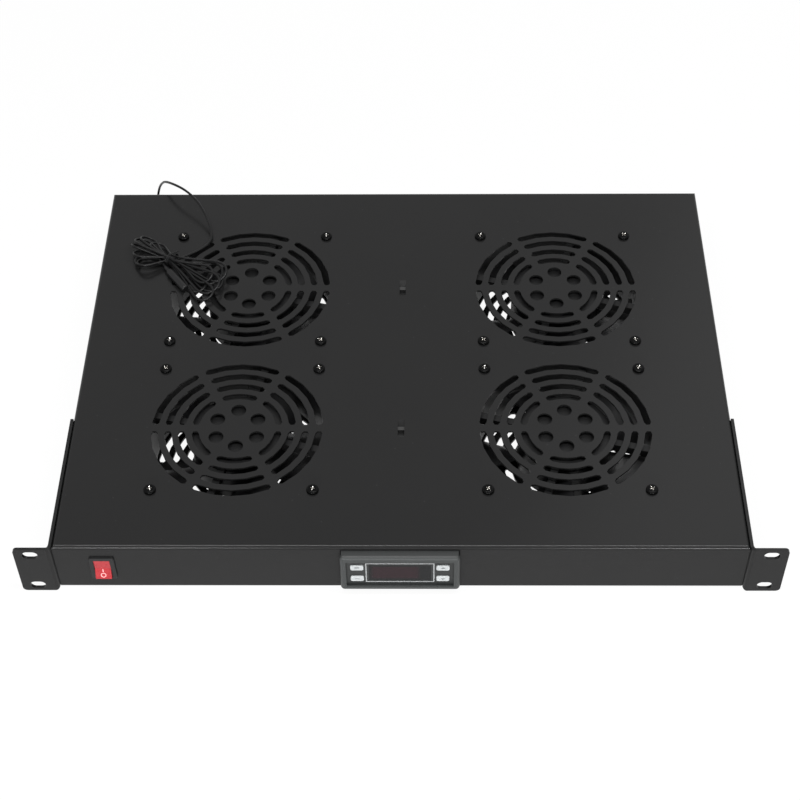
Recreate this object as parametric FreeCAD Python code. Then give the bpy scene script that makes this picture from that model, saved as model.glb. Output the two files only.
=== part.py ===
import FreeCAD, Part
import math
import os

# 19 inch, 1U rack fan tray with four 120 mm fans, a digital thermostat and a mains switch.
# Millimetres. X to the right seen from the front, Y to the rear, Z up.
# The origin is the centre of the four rack slots, in the plane where the ears meet the rack rails.

V = FreeCAD.Vector

# ---- Rack interface
PANEL_WIDTH = 486.0            # over both ears
EAR_REACH = 23.9               # from the box's side to the ear's outer edge
EAR_HEIGHT = 43.6              # 1U less the usual gap
EAR_SHEET = 2.0
EAR_BEND = 3.0                 # outer bend radius between an ear and its leg
EAR_CORNER = 3.0
EAR_ROOT = 0.5                 # how far behind the front wall the ear's full height ends
RACK_SLOT_INSET = 10.45        # from the ear's outer edge to a slot's middle
RACK_SLOT_PITCH_Z = 31.75
RACK_SLOT_LENGTH = 10.0
RACK_SLOT_WIDTH = 7.0
LEG_LENGTH = 106.0             # bracket leg along the box wall

# ---- Sheet metal box
SHEET = 1.5
BEND = 2.6                     # outer bend radius of the box
BOX_DEPTH = 330.0
SEAM = 0.5                     # open seam at the four upright corners
FOLD_GAP = 0.2                 # between the shell and the plate folded inside it
PLATE_FLANGE = 18.0            # height of the bottom plate's upturned sides

# ---- Fans
FAN_SIZE = 119.5
FAN_DEPTH = 38.0
FAN_CORNER = 6.0
FAN_FLANGE = 4.5
FAN_HOLE_PITCH = 105.0
FAN_HOLE_RADIUS = 2.15
FAN_SPREAD_X = 218.0           # between the left and the right fans' centres
FAN_PITCH_Y = 131.0            # between the front and the rear fans' centres
FRONT_FANS_Y = 98.0            # front fans' centres behind the front wall
DUCT_RADIUS = 57.5
DUCT_WALL = 2.0
INTAKE_FLARE = 1.6
MOTOR_BASE_DROP = 2.7          # motor base below the frame's outlet face
MOTOR_BASE_RADIUS = 31.0
MOTOR_BASE_THICKNESS = 2.5
STRUT_COUNT = 4
STRUT_WIDTH = 5.0
STRUT_HEIGHT = 6.0
STRUT_TURN = 75.0              # degrees from +X to the first strut
STRUT_LAP = 1.5                # how far a strut runs into the motor base
BEARING_OUTER_RADIUS = 6.5
BEARING_WIDTH = 5.0
BEARING_TUBE_WALL = 1.5
BEARING_TUBE_LENGTH = 18.0
SHAFT_RADIUS = 2.0
SHAFT_CLEARANCE = 0.04

BLADE_COUNT = 5
BLADE_TURNS = (65.0, 38.0, 50.0, 55.0)    # degrees from +X to a blade of each fan at rest
BLADE_THICKNESS = 1.8
BLADE_HEIGHT = 21.0            # along the shaft
ROOT_PITCH = 45.0              # degrees between the blade and the plane of rotation
TIP_PITCH = 24.0
ROOT_CAMBER = 2.0
TIP_CAMBER = 4.0
TIP_CLEARANCE = 1.2
BLADE_OVERRUN = 3.0            # how far a blade is lofted past the hub and the tip before it is trimmed
HUB_RADIUS = 31.0
HUB_WALL = 1.8
HUB_BASE_GAP = 1.2             # between the hub's open rim and the motor base
HUB_FLOOR_Z = -16.5            # intake end of the hub
HUB_CHAMFER = 2.0
BOSS_RADIUS = 5.0
BOSS_HEIGHT = 6.0
ROTOR_THICKNESS = 4.0
ROTOR_LENGTH = 23.5
AIR_GAP = 1.2
STATOR_LENGTH = 10.0
STATOR_SLOT_WIDTH = 4.0
STATOR_SLOT_DEPTH = 9.0
WINDING_HEIGHT = 3.5
WINDING_INSET = 2.0

# ---- Punched grille over each fan, in the top and in the bottom
RING_OUTER_RADIUS = 57.2
RING_PITCH = 9.0
RING_COUNT = 4
RING_SLOT_WIDTH = 4.7
SPOKE_COUNT = 6
SPOKE_WIDTH = 5.0
SLOT_STEP = 12.5               # degrees of arc in one straight of a punched slot
HUB_HOLE_RADIUS = 5.0
HUB_HOLE_CIRCLE = 15.5
HUB_HOLE_COUNT = 6

# ---- Fan screws
SCREW_HEAD_RADIUS = 4.0
SCREW_HEAD_HEIGHT = 2.4
SCREW_HEAD_BEVEL = 1.2
SCREW_REACH = 7.5              # shank below the top plate's underside
SCREW_HOLE_GAP = 0.25

# ---- Side screws, countersunk M3
SIDE_SCREW_RADIUS = 1.5
SIDE_SCREW_HEAD_RADIUS = 2.9
SIDE_SCREW_LENGTH = 6.5
SIDE_SCREW_Z = -9.0
LEG_SCREWS_Y = (20.0, 57.0, 94.0)
SHELL_SCREW_BEHIND_LEG = 84.0  # from the leg's rear end to the shell's first screw
SHELL_SCREW_INSET = 25.0       # from the rear wall to the shell's second screw

# ---- Cable tie lances pressed down in the top plate, and the ties in them
LANCE_LENGTH = 15.0
LANCE_WIDTH = 4.4
LANCE_DROP = 3.0
LANCE_STEEP = 4.0              # length of the steep rear slope
LANCE_FLAT = 4.5
LANCE_X = 0.0
TIE_WIDTH = 3.0
TIE_THICKNESS = 1.0

# ---- Mains switch in the front panel
SWITCH_INSET = 30.1            # from the box's left side to the switch's middle
SWITCH_Z = -0.7
SWITCH_BEZEL_WIDTH = 16.0
SWITCH_BEZEL_HEIGHT = 21.0
SWITCH_BEZEL_THICKNESS = 1.8
SWITCH_BEZEL_CORNER = 1.2
SWITCH_BEZEL_BEVEL = 0.6
SWITCH_BODY_WIDTH = 12.6
SWITCH_BODY_HEIGHT = 19.2
SWITCH_BODY_DEPTH = 14.0
SWITCH_BACK_WALL = 3.0
SWITCH_CUTOUT_GAP = 0.2
ROCKER_WIDTH = 10.2
ROCKER_LENGTH = 16.2
ROCKER_SIDE_GAP = 0.2
ROCKER_END_GAP = 0.95
ROCKER_FRONT = 5.4             # from the pivot to the rocker's two ends
ROCKER_DIP = 1.6               # how far the middle of its face lies back
ROCKER_SHOULDER = 1.0          # from the pivot to the rocker's shoulders, towards the front
ROCKER_SHOULDER_INSET = 0.6
ROCKER_TAIL = 2.6              # from the pivot to the rocker's tail, towards the rear
ROCKER_TAIL_HEIGHT = 6.0
ROCKER_TILT = 9.0              # degrees each way
ROCKER_PIN_RADIUS = 1.2
ROCKER_PIN_CLEARANCE = 0.05
PIVOT_DEPTH = 2.6              # pivot behind the panel's front face
SPADE_WIDTH = 4.8
SPADE_THICKNESS = 0.8
SPADE_LENGTH = 8.0
SPADE_Z = 5.0                  # each side of the switch's middle

# ---- Thermostat in the front panel
THERMO_WIDTH = 76.0
THERMO_HEIGHT = 34.5
THERMO_PROUD = 6.3             # bezel in front of the panel
THERMO_COLLAR = 3.0            # narrower rear part of the bezel
THERMO_COLLAR_STEP = 1.1
THERMO_EDGE = 2.7              # rounding of the bezel's front edges
THERMO_CORNER = 2.5
FACE_WIDTH = 68.2
FACE_HEIGHT = 25.6
FACE_DEPTH = 1.8               # face behind the bezel's front
FACE_THICKNESS = 1.5
WINDOW_WIDTH = 39.5
WINDOW_HEIGHT = 16.1
WINDOW_THICKNESS = 1.2
WINDOW_DEPTH = 0.1             # window behind the face
WINDOW_AIR = 0.2               # between the window and the display
BUTTON_X = 27.2
BUTTON_Z = 5.75
BUTTON_WIDTH = 8.4
BUTTON_HEIGHT = 5.4
BUTTON_PROUD = 0.7
BUTTON_EDGE = 0.4
BUTTON_LIP = 0.8               # how far the lip stands out, and how thick it is
BUTTON_LIP_GAP = 0.05          # between the lip and the back of the face
BUTTON_GAP = 0.15
BUTTON_CORNER = 1.4
BUTTON_TRAVEL = 0.5
THERMO_BODY_WIDTH = 70.6
THERMO_BODY_HEIGHT = 28.6
THERMO_BODY_DEPTH = 60.0
THERMO_BODY_WALL = 1.5
THERMO_CUTOUT_GAP = 0.2
BOARD_THICKNESS = 1.6
BOARD_BEHIND_PANEL = 1.6
TACT_SIZE = 4.5
TACT_GAP = 0.1                 # left under a pressed button
DISPLAY_WIDTH = 37.6
DISPLAY_HEIGHT = 14.2
RELAY_WIDTH = 19.0
RELAY_HEIGHT = 15.4
RELAY_DEPTH = 15.0
TERMINAL_WIDTH = 58.0
TERMINAL_HEIGHT = 12.0
TERMINAL_DEPTH = 9.0
TERMINAL_COUNT = 9
TERMINAL_WELL_WIDTH = 0.6      # share of a terminal's pitch
TERMINAL_WELL_DEPTH = 5.0
TERMINAL_WELL_EDGE = 3.0
CLIP_WIDTH = 4.0
CLIP_HEIGHT = 10.0
CLIP_LENGTH = 17.0
CLIP_FOOT = 4.0                # length of its thick part
CLIP_TIP = 1.5                 # thickness of its thin end

# ---- Mains inlet in the rear wall
INLET_X = 0.0
INLET_FLANGE_WIDTH = 50.0
INLET_FLANGE_HEIGHT = 22.5
INLET_FLANGE_THICKNESS = 3.0
INLET_FLANGE_CORNER = 4.0
INLET_BODY_WIDTH = 27.0
INLET_BODY_HEIGHT = 19.6
INLET_BODY_DEPTH = 22.0        # behind the wall's outer face
INLET_CUTOUT_GAP = 0.3
SOCKET_WIDTH = 24.4
SOCKET_HEIGHT = 16.8
SOCKET_DEPTH = 16.0
SOCKET_CHAMFER = 4.5
PIN_PITCH = 7.0
PIN_DROP = 4.0                 # earth pin above the line of the other two
PIN_WIDTH = 4.0
PIN_THICKNESS = 2.0
PIN_LENGTH = 14.0
INLET_SCREW_PITCH = 40.0
INLET_SCREW_LENGTH = 9.0
INLET_NUT_RADIUS = 3.1
INLET_NUT_HEIGHT = 2.4

# ---- Terminal block on the bottom plate
BLOCK_WIDTH = 44.0
BLOCK_DEPTH = 18.0
BLOCK_HEIGHT = 22.0
BLOCK_INSET = 50.0             # from the rear wall to its middle
BLOCK_WAYS = 6
BLOCK_WELL_WIDTH = 0.6         # share of a way's pitch
BLOCK_WELL_LENGTH = 4.0
BLOCK_WELL_DEPTH = 5.0
BLOCK_WELL_PLACE = 0.3         # share of the block's depth, each side of its middle

# ---- Wiring inside the box
TRUNK_RADIUS = 3.5
BRANCH_RADIUS = 2.0
INLET_LEAD_RADIUS = 1.4
OUTLET_BOSS = 8.0              # lead outlet on a fan's side
OUTLET_BOSS_DEPTH = 4.0
OUTLET_BOSS_LAP = 3.0          # how far the boss runs into the frame

# ---- Temperature sensor on its lead, in a tied hank on the top
LEAD_RADIUS = 0.9
GROMMET_INSET = 29.1           # from the box's left side
GROMMET_Z = 0.0
GROMMET_FLANGE_RADIUS = 5.5
GROMMET_NECK_RADIUS = 3.5
GROMMET_FLANGE = 1.5
PROBE_RADIUS = 2.9
PROBE_LENGTH = 22.0
PROBE_TAIL_RADIUS = 1.7
PROBE_TAIL_LENGTH = 5.5
PROBE_EDGE = 1.2
HANK_TIE_WIDTH = 3.0
HANK_TIE_THICKNESS = 0.9

# ---- Worked out
BOX_HEIGHT = FAN_DEPTH + 2 * SHEET
TOP = BOX_HEIGHT / 2
BOX_WIDTH = PANEL_WIDTH - 2 * EAR_REACH
RACK_SLOT_PITCH_X = PANEL_WIDTH - 2 * RACK_SLOT_INSET
UNDER_TOP = TOP - SHEET
FLOOR = -UNDER_TOP
FRONT = EAR_BEND - EAR_SHEET
REAR = FRONT + BOX_DEPTH
HALF_WIDTH = BOX_WIDTH / 2
INNER_HALF = HALF_WIDTH - SHEET
PANEL_BACK = FRONT + SHEET
REAR_INNER = REAR - SHEET
SHELL_SCREWS_Y = (LEG_LENGTH + SHELL_SCREW_BEHIND_LEG, BOX_DEPTH - SHELL_SCREW_INSET)
SWITCH_X = SWITCH_INSET - HALF_WIDTH
GROMMET_X = GROMMET_INSET - HALF_WIDTH
BLOCK_FRONT = REAR - BLOCK_INSET - BLOCK_DEPTH / 2
FAN_ROWS_Y = (FRONT + FRONT_FANS_Y, FRONT + FRONT_FANS_Y + FAN_PITCH_Y)
FAN_CENTRES = [V(x, y, 0) for y in FAN_ROWS_Y for x in (-FAN_SPREAD_X / 2, FAN_SPREAD_X / 2)]
OVER = 5.0                     # how far cutting tools run past the metal


# ---------------------------------------------------------------- shape helpers
def block(x0, x1, y0, y1, z0, z1):
    """Box between two corners."""
    return Part.makeBox(x1 - x0, y1 - y0, z1 - z0, V(x0, y0, z0))


def rod(radius, start, end):
    """Round bar between two points."""
    return Part.makeCylinder(radius, (end - start).Length, start, end - start)


def tube(outer, inner, start, end):
    """Round tube between two points."""
    return rod(outer, start, end).cut(rod(inner, start, end))


def union(shapes):
    """One solid of several that touch or overlap."""
    return shapes[0].fuse(shapes[1:]).removeSplitter()


def solid_of(shape):
    """The single solid of a boolean's result."""
    return shape.Solids[0]


def prism(points, direction):
    """Straight-sided solid on a closed outline."""
    return Part.Face(Part.makePolygon(points + points[:1])).extrude(direction)


def edges_where(shape, test):
    """Edges whose two ends both pass a test."""
    return [e for e in shape.Edges if all(test(v.Point) for v in e.Vertexes)]


def round_upright(shape, radius):
    """Round the upright edges of a block."""
    upright = [e for e in shape.Edges if abs(e.tangentAt(e.FirstParameter).z) > 0.99]
    return shape.makeFillet(radius, upright)


def round_along_y(shape, radius):
    """Round the edges of a block that run from front to rear."""
    along = [e for e in shape.Edges if abs(e.tangentAt(e.FirstParameter).y) > 0.99]
    return shape.makeFillet(radius, along)


def mirror_x(shape):
    """The same piece on the other side of the tray."""
    return shape.mirror(V(0, 0, 0), V(1, 0, 0))


def polar(radius, degrees, z=0.0):
    """Point at a radius and an angle about the upright axis."""
    return V(radius * math.cos(math.radians(degrees)), radius * math.sin(math.radians(degrees)), z)


def route_arcs(points):
    """The tangent arc at each inner point of a route: radius, start, middle and end."""
    arcs = []
    for before, here, after in zip(points, points[1:], points[2:]):
        come = here - before
        go = after - here
        turn = come.getAngle(go)
        trim = 0.45 * min(come.Length, go.Length)
        radius = trim / math.tan(turn / 2)
        come.normalize()
        go.normalize()
        start = here - come * trim
        end = here + go * trim
        inward = (go - come).normalize()
        centre = here + inward * (radius / math.cos(turn / 2))
        arcs.append((radius, start, centre - inward * radius, end))
    return arcs


def tube_on_route(points, radius):
    """Round tube on straight runs joined by tangent arcs, and the length of its middle line."""
    edges = []
    here = points[0]
    for _, start, middle, end in route_arcs(points):
        edges.append(Part.LineSegment(here, start).toShape())
        edges.append(Part.Arc(start, middle, end).toShape())
        here = end
    edges.append(Part.LineSegment(here, points[-1]).toShape())
    path = Part.Wire(edges)
    section = Part.Wire(Part.Circle(points[0], points[1] - points[0], radius).toShape())
    return path.makePipeShell([section], True, False), path.Length


# ---------------------------------------------------------------- sheet metal
def slot_outline(radius, middle):
    """Punched slot on an arc, with three-sided ends beside spokes of even width."""
    half = RING_SLOT_WIDTH / 2
    end = 180.0 / SPOKE_COUNT - math.degrees(math.asin((SPOKE_WIDTH / 2 + half) / radius))
    steps = math.ceil(2 * end / SLOT_STEP)
    angles = [middle - end + 2 * end * i / steps for i in range(steps + 1)]
    outer = [polar(radius + half, a) for a in angles]
    inner = [polar(radius - half, a) for a in reversed(angles)]
    tip = math.degrees(half * 0.87 / radius)
    far = [polar(radius + half / 2, middle + end + tip), polar(radius - half / 2, middle + end + tip)]
    near = [polar(radius - half / 2, middle - end - tip), polar(radius + half / 2, middle - end - tip)]
    return outer + far + inner + near


def grille_tools(z0, z1):
    """Punches for one fan's grille: rings of slots and a circle of holes over the hub."""
    up = V(0, 0, z1 - z0)
    tools = []
    for ring in range(RING_COUNT):
        radius = RING_OUTER_RADIUS - RING_SLOT_WIDTH / 2 - ring * RING_PITCH
        for spoke in range(SPOKE_COUNT):
            middle = (spoke + 0.5) * 360.0 / SPOKE_COUNT
            outline = [p + V(0, 0, z0) for p in slot_outline(radius, middle)]
            tools.append(prism(outline, up))
    for hole in range(HUB_HOLE_COUNT):
        centre = polar(HUB_HOLE_CIRCLE, (hole + 0.5) * 360.0 / HUB_HOLE_COUNT, z0)
        tools.append(rod(HUB_HOLE_RADIUS, centre, centre + up))
    return tools


def at_fans(tools):
    """Copies of tools drawn about the origin, one set for each fan."""
    return [t.translated(c) for c in FAN_CENTRES for t in tools]


def fan_corners():
    """Places of the four screw holes of one fan, about its axis."""
    half = FAN_HOLE_PITCH / 2
    return [V(sx * half, sy * half, 0) for sx in (-1, 1) for sy in (-1, 1)]


def lance_strip(y):
    """Strip of the top plate pressed down for a cable tie: steep at the rear, easy at the front."""
    back = y + LANCE_LENGTH / 2
    front = y - LANCE_LENGTH / 2
    low = TOP - LANCE_DROP
    upper = [(front, TOP), (back - LANCE_STEEP - LANCE_FLAT, low), (back - LANCE_STEEP, low), (back, TOP)]
    lower = [(a, b - SHEET) for a, b in reversed(upper)]
    start = LANCE_X - LANCE_WIDTH / 2
    return prism([V(start, a, b) for a, b in upper + lower], V(LANCE_WIDTH, 0, 0))


def shell_block(inset, radius, bottom):
    """Solid block inside the shell's surface by an inset, with its four top edges rounded."""
    x = HALF_WIDTH - inset
    z = TOP - inset
    solid = block(-x, x, FRONT + inset, REAR - inset, bottom, z)
    return solid.makeFillet(radius, edges_where(solid, lambda p: abs(p.z - z) < 1e-6))


def screw_cone(wall_x, y):
    """Countersink and clearance hole of one side screw, on the right-hand side."""
    depth = SIDE_SCREW_HEAD_RADIUS - SIDE_SCREW_RADIUS
    place = V(wall_x, y, SIDE_SCREW_Z)
    cone = Part.makeCone(SIDE_SCREW_HEAD_RADIUS, SIDE_SCREW_RADIUS, depth, place, V(-1, 0, 0))
    return cone.fuse(rod(SIDE_SCREW_RADIUS, place, place - V(SIDE_SCREW_LENGTH, 0, 0)))


def side_screw_shapes():
    """Every side screw: those through the bracket legs and those through the shell alone."""
    right = [screw_cone(HALF_WIDTH + EAR_SHEET, FRONT + y) for y in LEG_SCREWS_Y]
    right += [screw_cone(HALF_WIDTH, FRONT + y) for y in SHELL_SCREWS_Y]
    right = [solid_of(s.removeSplitter()) for s in right]
    return right + [mirror_x(s) for s in right]


def thermostat_cutout():
    """Opening in the front wall for the thermostat's body."""
    x = THERMO_BODY_WIDTH / 2 + THERMO_CUTOUT_GAP
    z = THERMO_BODY_HEIGHT / 2 + THERMO_CUTOUT_GAP
    return block(-x, x, FRONT - OVER, PANEL_BACK + OVER, -z, z)


def switch_cutout():
    """Opening in the front wall for the switch."""
    x = SWITCH_BODY_WIDTH / 2 + SWITCH_CUTOUT_GAP
    z = SWITCH_BODY_HEIGHT / 2 + SWITCH_CUTOUT_GAP
    return block(SWITCH_X - x, SWITCH_X + x, FRONT - OVER, PANEL_BACK + OVER, SWITCH_Z - z, SWITCH_Z + z)


def inlet_cutouts():
    """Openings in the rear wall for the mains inlet and its two screws."""
    x = INLET_BODY_WIDTH / 2 + INLET_CUTOUT_GAP
    z = INLET_BODY_HEIGHT / 2 + INLET_CUTOUT_GAP
    tools = [block(INLET_X - x, INLET_X + x, REAR_INNER - OVER, REAR + OVER, -z, z)]
    for side in (-1, 1):
        place = V(INLET_X + side * INLET_SCREW_PITCH / 2, REAR_INNER - OVER, 0)
        tools.append(rod(SIDE_SCREW_RADIUS, place, place + V(0, SHEET + 2 * OVER, 0)))
    return tools


def top_shell():
    """Top, front, sides and rear folded from one sheet, with every opening punched."""
    shell = shell_block(0, BEND, -TOP).cut(shell_block(SHEET, BEND - SHEET, -TOP - OVER))
    tools = at_fans(grille_tools(UNDER_TOP - OVER, TOP + OVER))
    hole = FAN_HOLE_RADIUS + SCREW_HOLE_GAP
    tools += at_fans([rod(hole, c + V(0, 0, UNDER_TOP - 1), c + V(0, 0, TOP + 1)) for c in fan_corners()])
    for y in FAN_ROWS_Y:
        x = LANCE_WIDTH / 2
        tools.append(block(LANCE_X - x, LANCE_X + x, y - LANCE_LENGTH / 2, y + LANCE_LENGTH / 2,
                           UNDER_TOP - 1, TOP + 1))
    tools += [thermostat_cutout(), switch_cutout()]
    tools += inlet_cutouts()
    grommet = V(GROMMET_X, REAR_INNER - 1, GROMMET_Z)
    tools.append(rod(GROMMET_NECK_RADIUS, grommet, grommet + V(0, SHEET + 2, 0)))
    for x0 in (-HALF_WIDTH - 1, INNER_HALF - 1):
        for y0 in (PANEL_BACK, REAR_INNER - SEAM):
            tools.append(block(x0, x0 + SHEET + 2, y0, y0 + SEAM, -TOP - 1, TOP - BEND))
    tools += side_screw_shapes()
    shell = shell.cut(tools)
    for y in FAN_ROWS_Y:
        shell = shell.fuse(lance_strip(y))
    return solid_of(shell)


def folds(shape, x, z):
    """Edges of a block that run from front to rear at a given half width and height."""
    return [e for e in shape.Edges
            if abs(e.CenterOfMass.z - z) < 1e-6 and abs(abs(e.CenterOfMass.x) - x) < 1e-6]


def bottom_plate():
    """Bottom with upturned sides, folded to lie inside the shell, with the same grilles."""
    x = INNER_HALF - FOLD_GAP
    front = PANEL_BACK + FOLD_GAP
    rear = REAR_INNER - FOLD_GAP
    rim = -TOP + PLATE_FLANGE
    outer = block(-x, x, front, rear, -TOP, rim)
    outer = outer.makeFillet(BEND, folds(outer, x, -TOP))
    inner = block(-x + SHEET, x - SHEET, front - 1, rear + 1, FLOOR, rim + 1)
    inner = inner.makeFillet(BEND - SHEET, folds(inner, x - SHEET, FLOOR))
    tools = at_fans(grille_tools(-TOP - OVER, FLOOR + OVER)) + side_screw_shapes()
    return solid_of(outer.cut(inner).cut(tools))


def rack_slot(z):
    """Tool for one rack slot in the right-hand ear."""
    half = (RACK_SLOT_LENGTH - RACK_SLOT_WIDTH) / 2
    radius = RACK_SLOT_WIDTH / 2
    x = RACK_SLOT_PITCH_X / 2
    y0 = -EAR_SHEET - 1
    y1 = 1
    ends = [rod(radius, V(x + s * half, y0, z), V(x + s * half, y1, z)) for s in (-1, 1)]
    return union(ends + [block(x - half, x + half, y0, y1, z - radius, z + radius)])


def right_bracket():
    """Rack ear and leg, folded from one strip; the ear is a little taller than the leg."""
    leg_out = HALF_WIDTH + EAR_SHEET
    bend_x = HALF_WIDTH + EAR_BEND
    inside = EAR_BEND - EAR_SHEET
    diag = math.sqrt(0.5)
    leg_end = FRONT + LEG_LENGTH
    edge = PANEL_WIDTH / 2
    bend_centre = V(bend_x, FRONT, 0)
    half = EAR_HEIGHT / 2
    low = V(0, 0, -half)
    corners = [V(HALF_WIDTH, leg_end, 0), V(leg_out, leg_end, 0), V(leg_out, FRONT, 0), V(bend_x, 0, 0),
               V(edge, 0, 0), V(edge, -EAR_SHEET, 0), V(bend_x, -EAR_SHEET, 0), V(HALF_WIDTH, FRONT, 0)]
    corners = [c + low for c in corners]
    middle_in = bend_centre + V(-inside * diag, -inside * diag, 0) + low
    middle_out = bend_centre + V(-EAR_BEND * diag, -EAR_BEND * diag, 0) + low
    edges = [Part.LineSegment(corners[0], corners[1]).toShape(),
             Part.LineSegment(corners[1], corners[2]).toShape(),
             Part.Arc(corners[2], middle_in, corners[3]).toShape(),
             Part.LineSegment(corners[3], corners[4]).toShape(),
             Part.LineSegment(corners[4], corners[5]).toShape(),
             Part.LineSegment(corners[5], corners[6]).toShape(),
             Part.Arc(corners[6], middle_out, corners[7]).toShape(),
             Part.LineSegment(corners[7], corners[0]).toShape()]
    bracket = Part.Face(Part.Wire(edges)).extrude(V(0, 0, EAR_HEIGHT))
    root = FRONT + EAR_ROOT
    ear = block(HALF_WIDTH, edge, -EAR_SHEET - 1, root, -half, half)
    ear = round_along_y(ear, EAR_CORNER)
    leg = block(HALF_WIDTH - 1, leg_out + 1, root, leg_end + 1, -TOP, TOP)
    bracket = bracket.common(ear.fuse(leg))
    tools = [rack_slot(s * RACK_SLOT_PITCH_Z / 2) for s in (-1, 1)] + side_screw_shapes()
    return solid_of(bracket.cut(tools))


def fan_screws():
    """Sixteen pan-head screws that hold the fans under the top plate."""
    base = V(0, 0, TOP)
    crown = V(0, 0, TOP + SCREW_HEAD_HEIGHT)
    head = rod(SCREW_HEAD_RADIUS, base, crown)
    rim = [e for e in head.Edges if abs(e.CenterOfMass.z - crown.z) < 1e-6 and len(e.Vertexes) == 1]
    head = head.makeChamfer(SCREW_HEAD_BEVEL, rim)
    shank = rod(FAN_HOLE_RADIUS, base - V(0, 0, SHEET + SCREW_REACH), base)
    screw = solid_of(union([head, shank]))
    return Part.makeCompound(at_fans([screw.translated(c) for c in fan_corners()]))


# ---------------------------------------------------------------- fans
def fan_strut_z():
    """Upper face of the motor base and struts."""
    return FAN_DEPTH / 2 - MOTOR_BASE_DROP


def fan_frame():
    """Cast frame: two square flanges, the duct, the struts and the motor base with its bearing tube."""
    half = FAN_SIZE / 2
    top = FAN_DEPTH / 2
    duct_out = DUCT_RADIUS + DUCT_WALL
    slab = round_upright(block(-half, half, -half, half, -top, -top + FAN_FLANGE), FAN_CORNER)
    upper_slab = slab.translated(V(0, 0, FAN_DEPTH - FAN_FLANGE))
    frame = union([slab, upper_slab, rod(duct_out, V(0, 0, -top), V(0, 0, top))])
    flare = Part.makeCone(DUCT_RADIUS + INTAKE_FLARE, DUCT_RADIUS, FAN_FLANGE, V(0, 0, -top))
    tools = [rod(DUCT_RADIUS, V(0, 0, -top), V(0, 0, top)), flare]
    tools += [rod(FAN_HOLE_RADIUS, c - V(0, 0, top), c + V(0, 0, top)) for c in fan_corners()]
    frame = frame.cut(tools)
    base_top = fan_strut_z()
    under = base_top - MOTOR_BASE_THICKNESS
    disc = rod(MOTOR_BASE_RADIUS, V(0, 0, under), V(0, 0, base_top))
    tube_end = V(0, 0, under - BEARING_TUBE_LENGTH)
    sleeve = tube(BEARING_OUTER_RADIUS + BEARING_TUBE_WALL, BEARING_OUTER_RADIUS, tube_end, V(0, 0, under))
    struts = []
    for i in range(STRUT_COUNT):
        arm = block(MOTOR_BASE_RADIUS - STRUT_LAP, DUCT_RADIUS + DUCT_WALL / 2,
                    -STRUT_WIDTH / 2, STRUT_WIDTH / 2, base_top - STRUT_HEIGHT, base_top)
        arm = arm.cut(rod(MOTOR_BASE_RADIUS + 1, V(0, 0, -top), V(0, 0, under)))
        struts.append(arm.rotated(V(0, 0, 0), V(0, 0, 1), STRUT_TURN + i * 360.0 / STRUT_COUNT))
    return solid_of(frame.fuse([disc, sleeve] + struts).removeSplitter())


def outlet_boss():
    """Lead outlet on the right-hand side of a fan."""
    face = FAN_SIZE / 2
    half = OUTLET_BOSS / 2
    return block(face - OUTLET_BOSS_LAP, face + OUTLET_BOSS_DEPTH, -half, half, -half, half)


def blade_section(radius, pitch, camber):
    """Closed outline of a blade at one radius, in the plane across the radius."""
    chord = BLADE_HEIGHT / math.sin(math.radians(pitch))
    middle_z = HUB_FLOOR_Z + BLADE_HEIGHT / 2
    run = V(0, math.cos(math.radians(pitch)), math.sin(math.radians(pitch)))
    lift = V(0, -run.z, run.y)
    centre = V(radius, 0, middle_z)
    edge = lift * (BLADE_THICKNESS * 0.3)
    low_end = centre - run * (chord / 2)
    high_end = centre + run * (chord / 2)
    over = centre + lift * (camber + BLADE_THICKNESS / 2)
    under = centre + lift * (camber - BLADE_THICKNESS / 2)
    return Part.Wire([Part.Arc(low_end + edge, over, high_end + edge).toShape(),
                      Part.LineSegment(high_end + edge, high_end - edge).toShape(),
                      Part.Arc(high_end - edge, under, low_end - edge).toShape(),
                      Part.LineSegment(low_end - edge, low_end + edge).toShape()])


def impeller():
    """Hub cup with five twisted blades lofted from hub to tip and trimmed to the duct."""
    rim = fan_strut_z() - MOTOR_BASE_THICKNESS - HUB_BASE_GAP
    floor = V(0, 0, HUB_FLOOR_Z)
    cup = rod(HUB_RADIUS, floor, V(0, 0, rim))
    floor_edge = [e for e in cup.Edges if abs(e.CenterOfMass.z - HUB_FLOOR_Z) < 1e-6 and len(e.Vertexes) == 1]
    cup = cup.makeChamfer(HUB_CHAMFER, floor_edge)
    tip = DUCT_RADIUS - TIP_CLEARANCE
    sections = [blade_section(HUB_RADIUS - BLADE_OVERRUN, ROOT_PITCH, ROOT_CAMBER),
                blade_section(tip + BLADE_OVERRUN, TIP_PITCH, TIP_CAMBER)]
    blade = Part.makeLoft(sections, True, True)
    blade = blade.common(tube(tip, HUB_RADIUS - HUB_WALL / 2, V(0, 0, -FAN_DEPTH), V(0, 0, FAN_DEPTH)))
    blades = [blade.rotated(V(0, 0, 0), V(0, 0, 1), i * 360.0 / BLADE_COUNT) for i in range(BLADE_COUNT)]
    inner_floor = V(0, 0, HUB_FLOOR_Z + HUB_WALL)
    hollow = rod(HUB_RADIUS - HUB_WALL, inner_floor, V(0, 0, rim + 1))
    boss = tube(BOSS_RADIUS, SHAFT_RADIUS, inner_floor, inner_floor + V(0, 0, BOSS_HEIGHT))
    return solid_of(union([cup] + blades).cut(hollow).fuse(boss).removeSplitter())


def rotor():
    """Cage rotor ring pressed into the hub."""
    start = V(0, 0, HUB_FLOOR_Z + HUB_WALL + 1)
    outer = HUB_RADIUS - HUB_WALL
    return tube(outer, outer - ROTOR_THICKNESS, start, start + V(0, 0, ROTOR_LENGTH))


def shaft():
    """Shaft pressed into the hub's boss and running in the bearings."""
    start = V(0, 0, HUB_FLOOR_Z + HUB_WALL)
    return rod(SHAFT_RADIUS, start, V(0, 0, fan_strut_z() - MOTOR_BASE_THICKNESS - 0.6))


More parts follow.
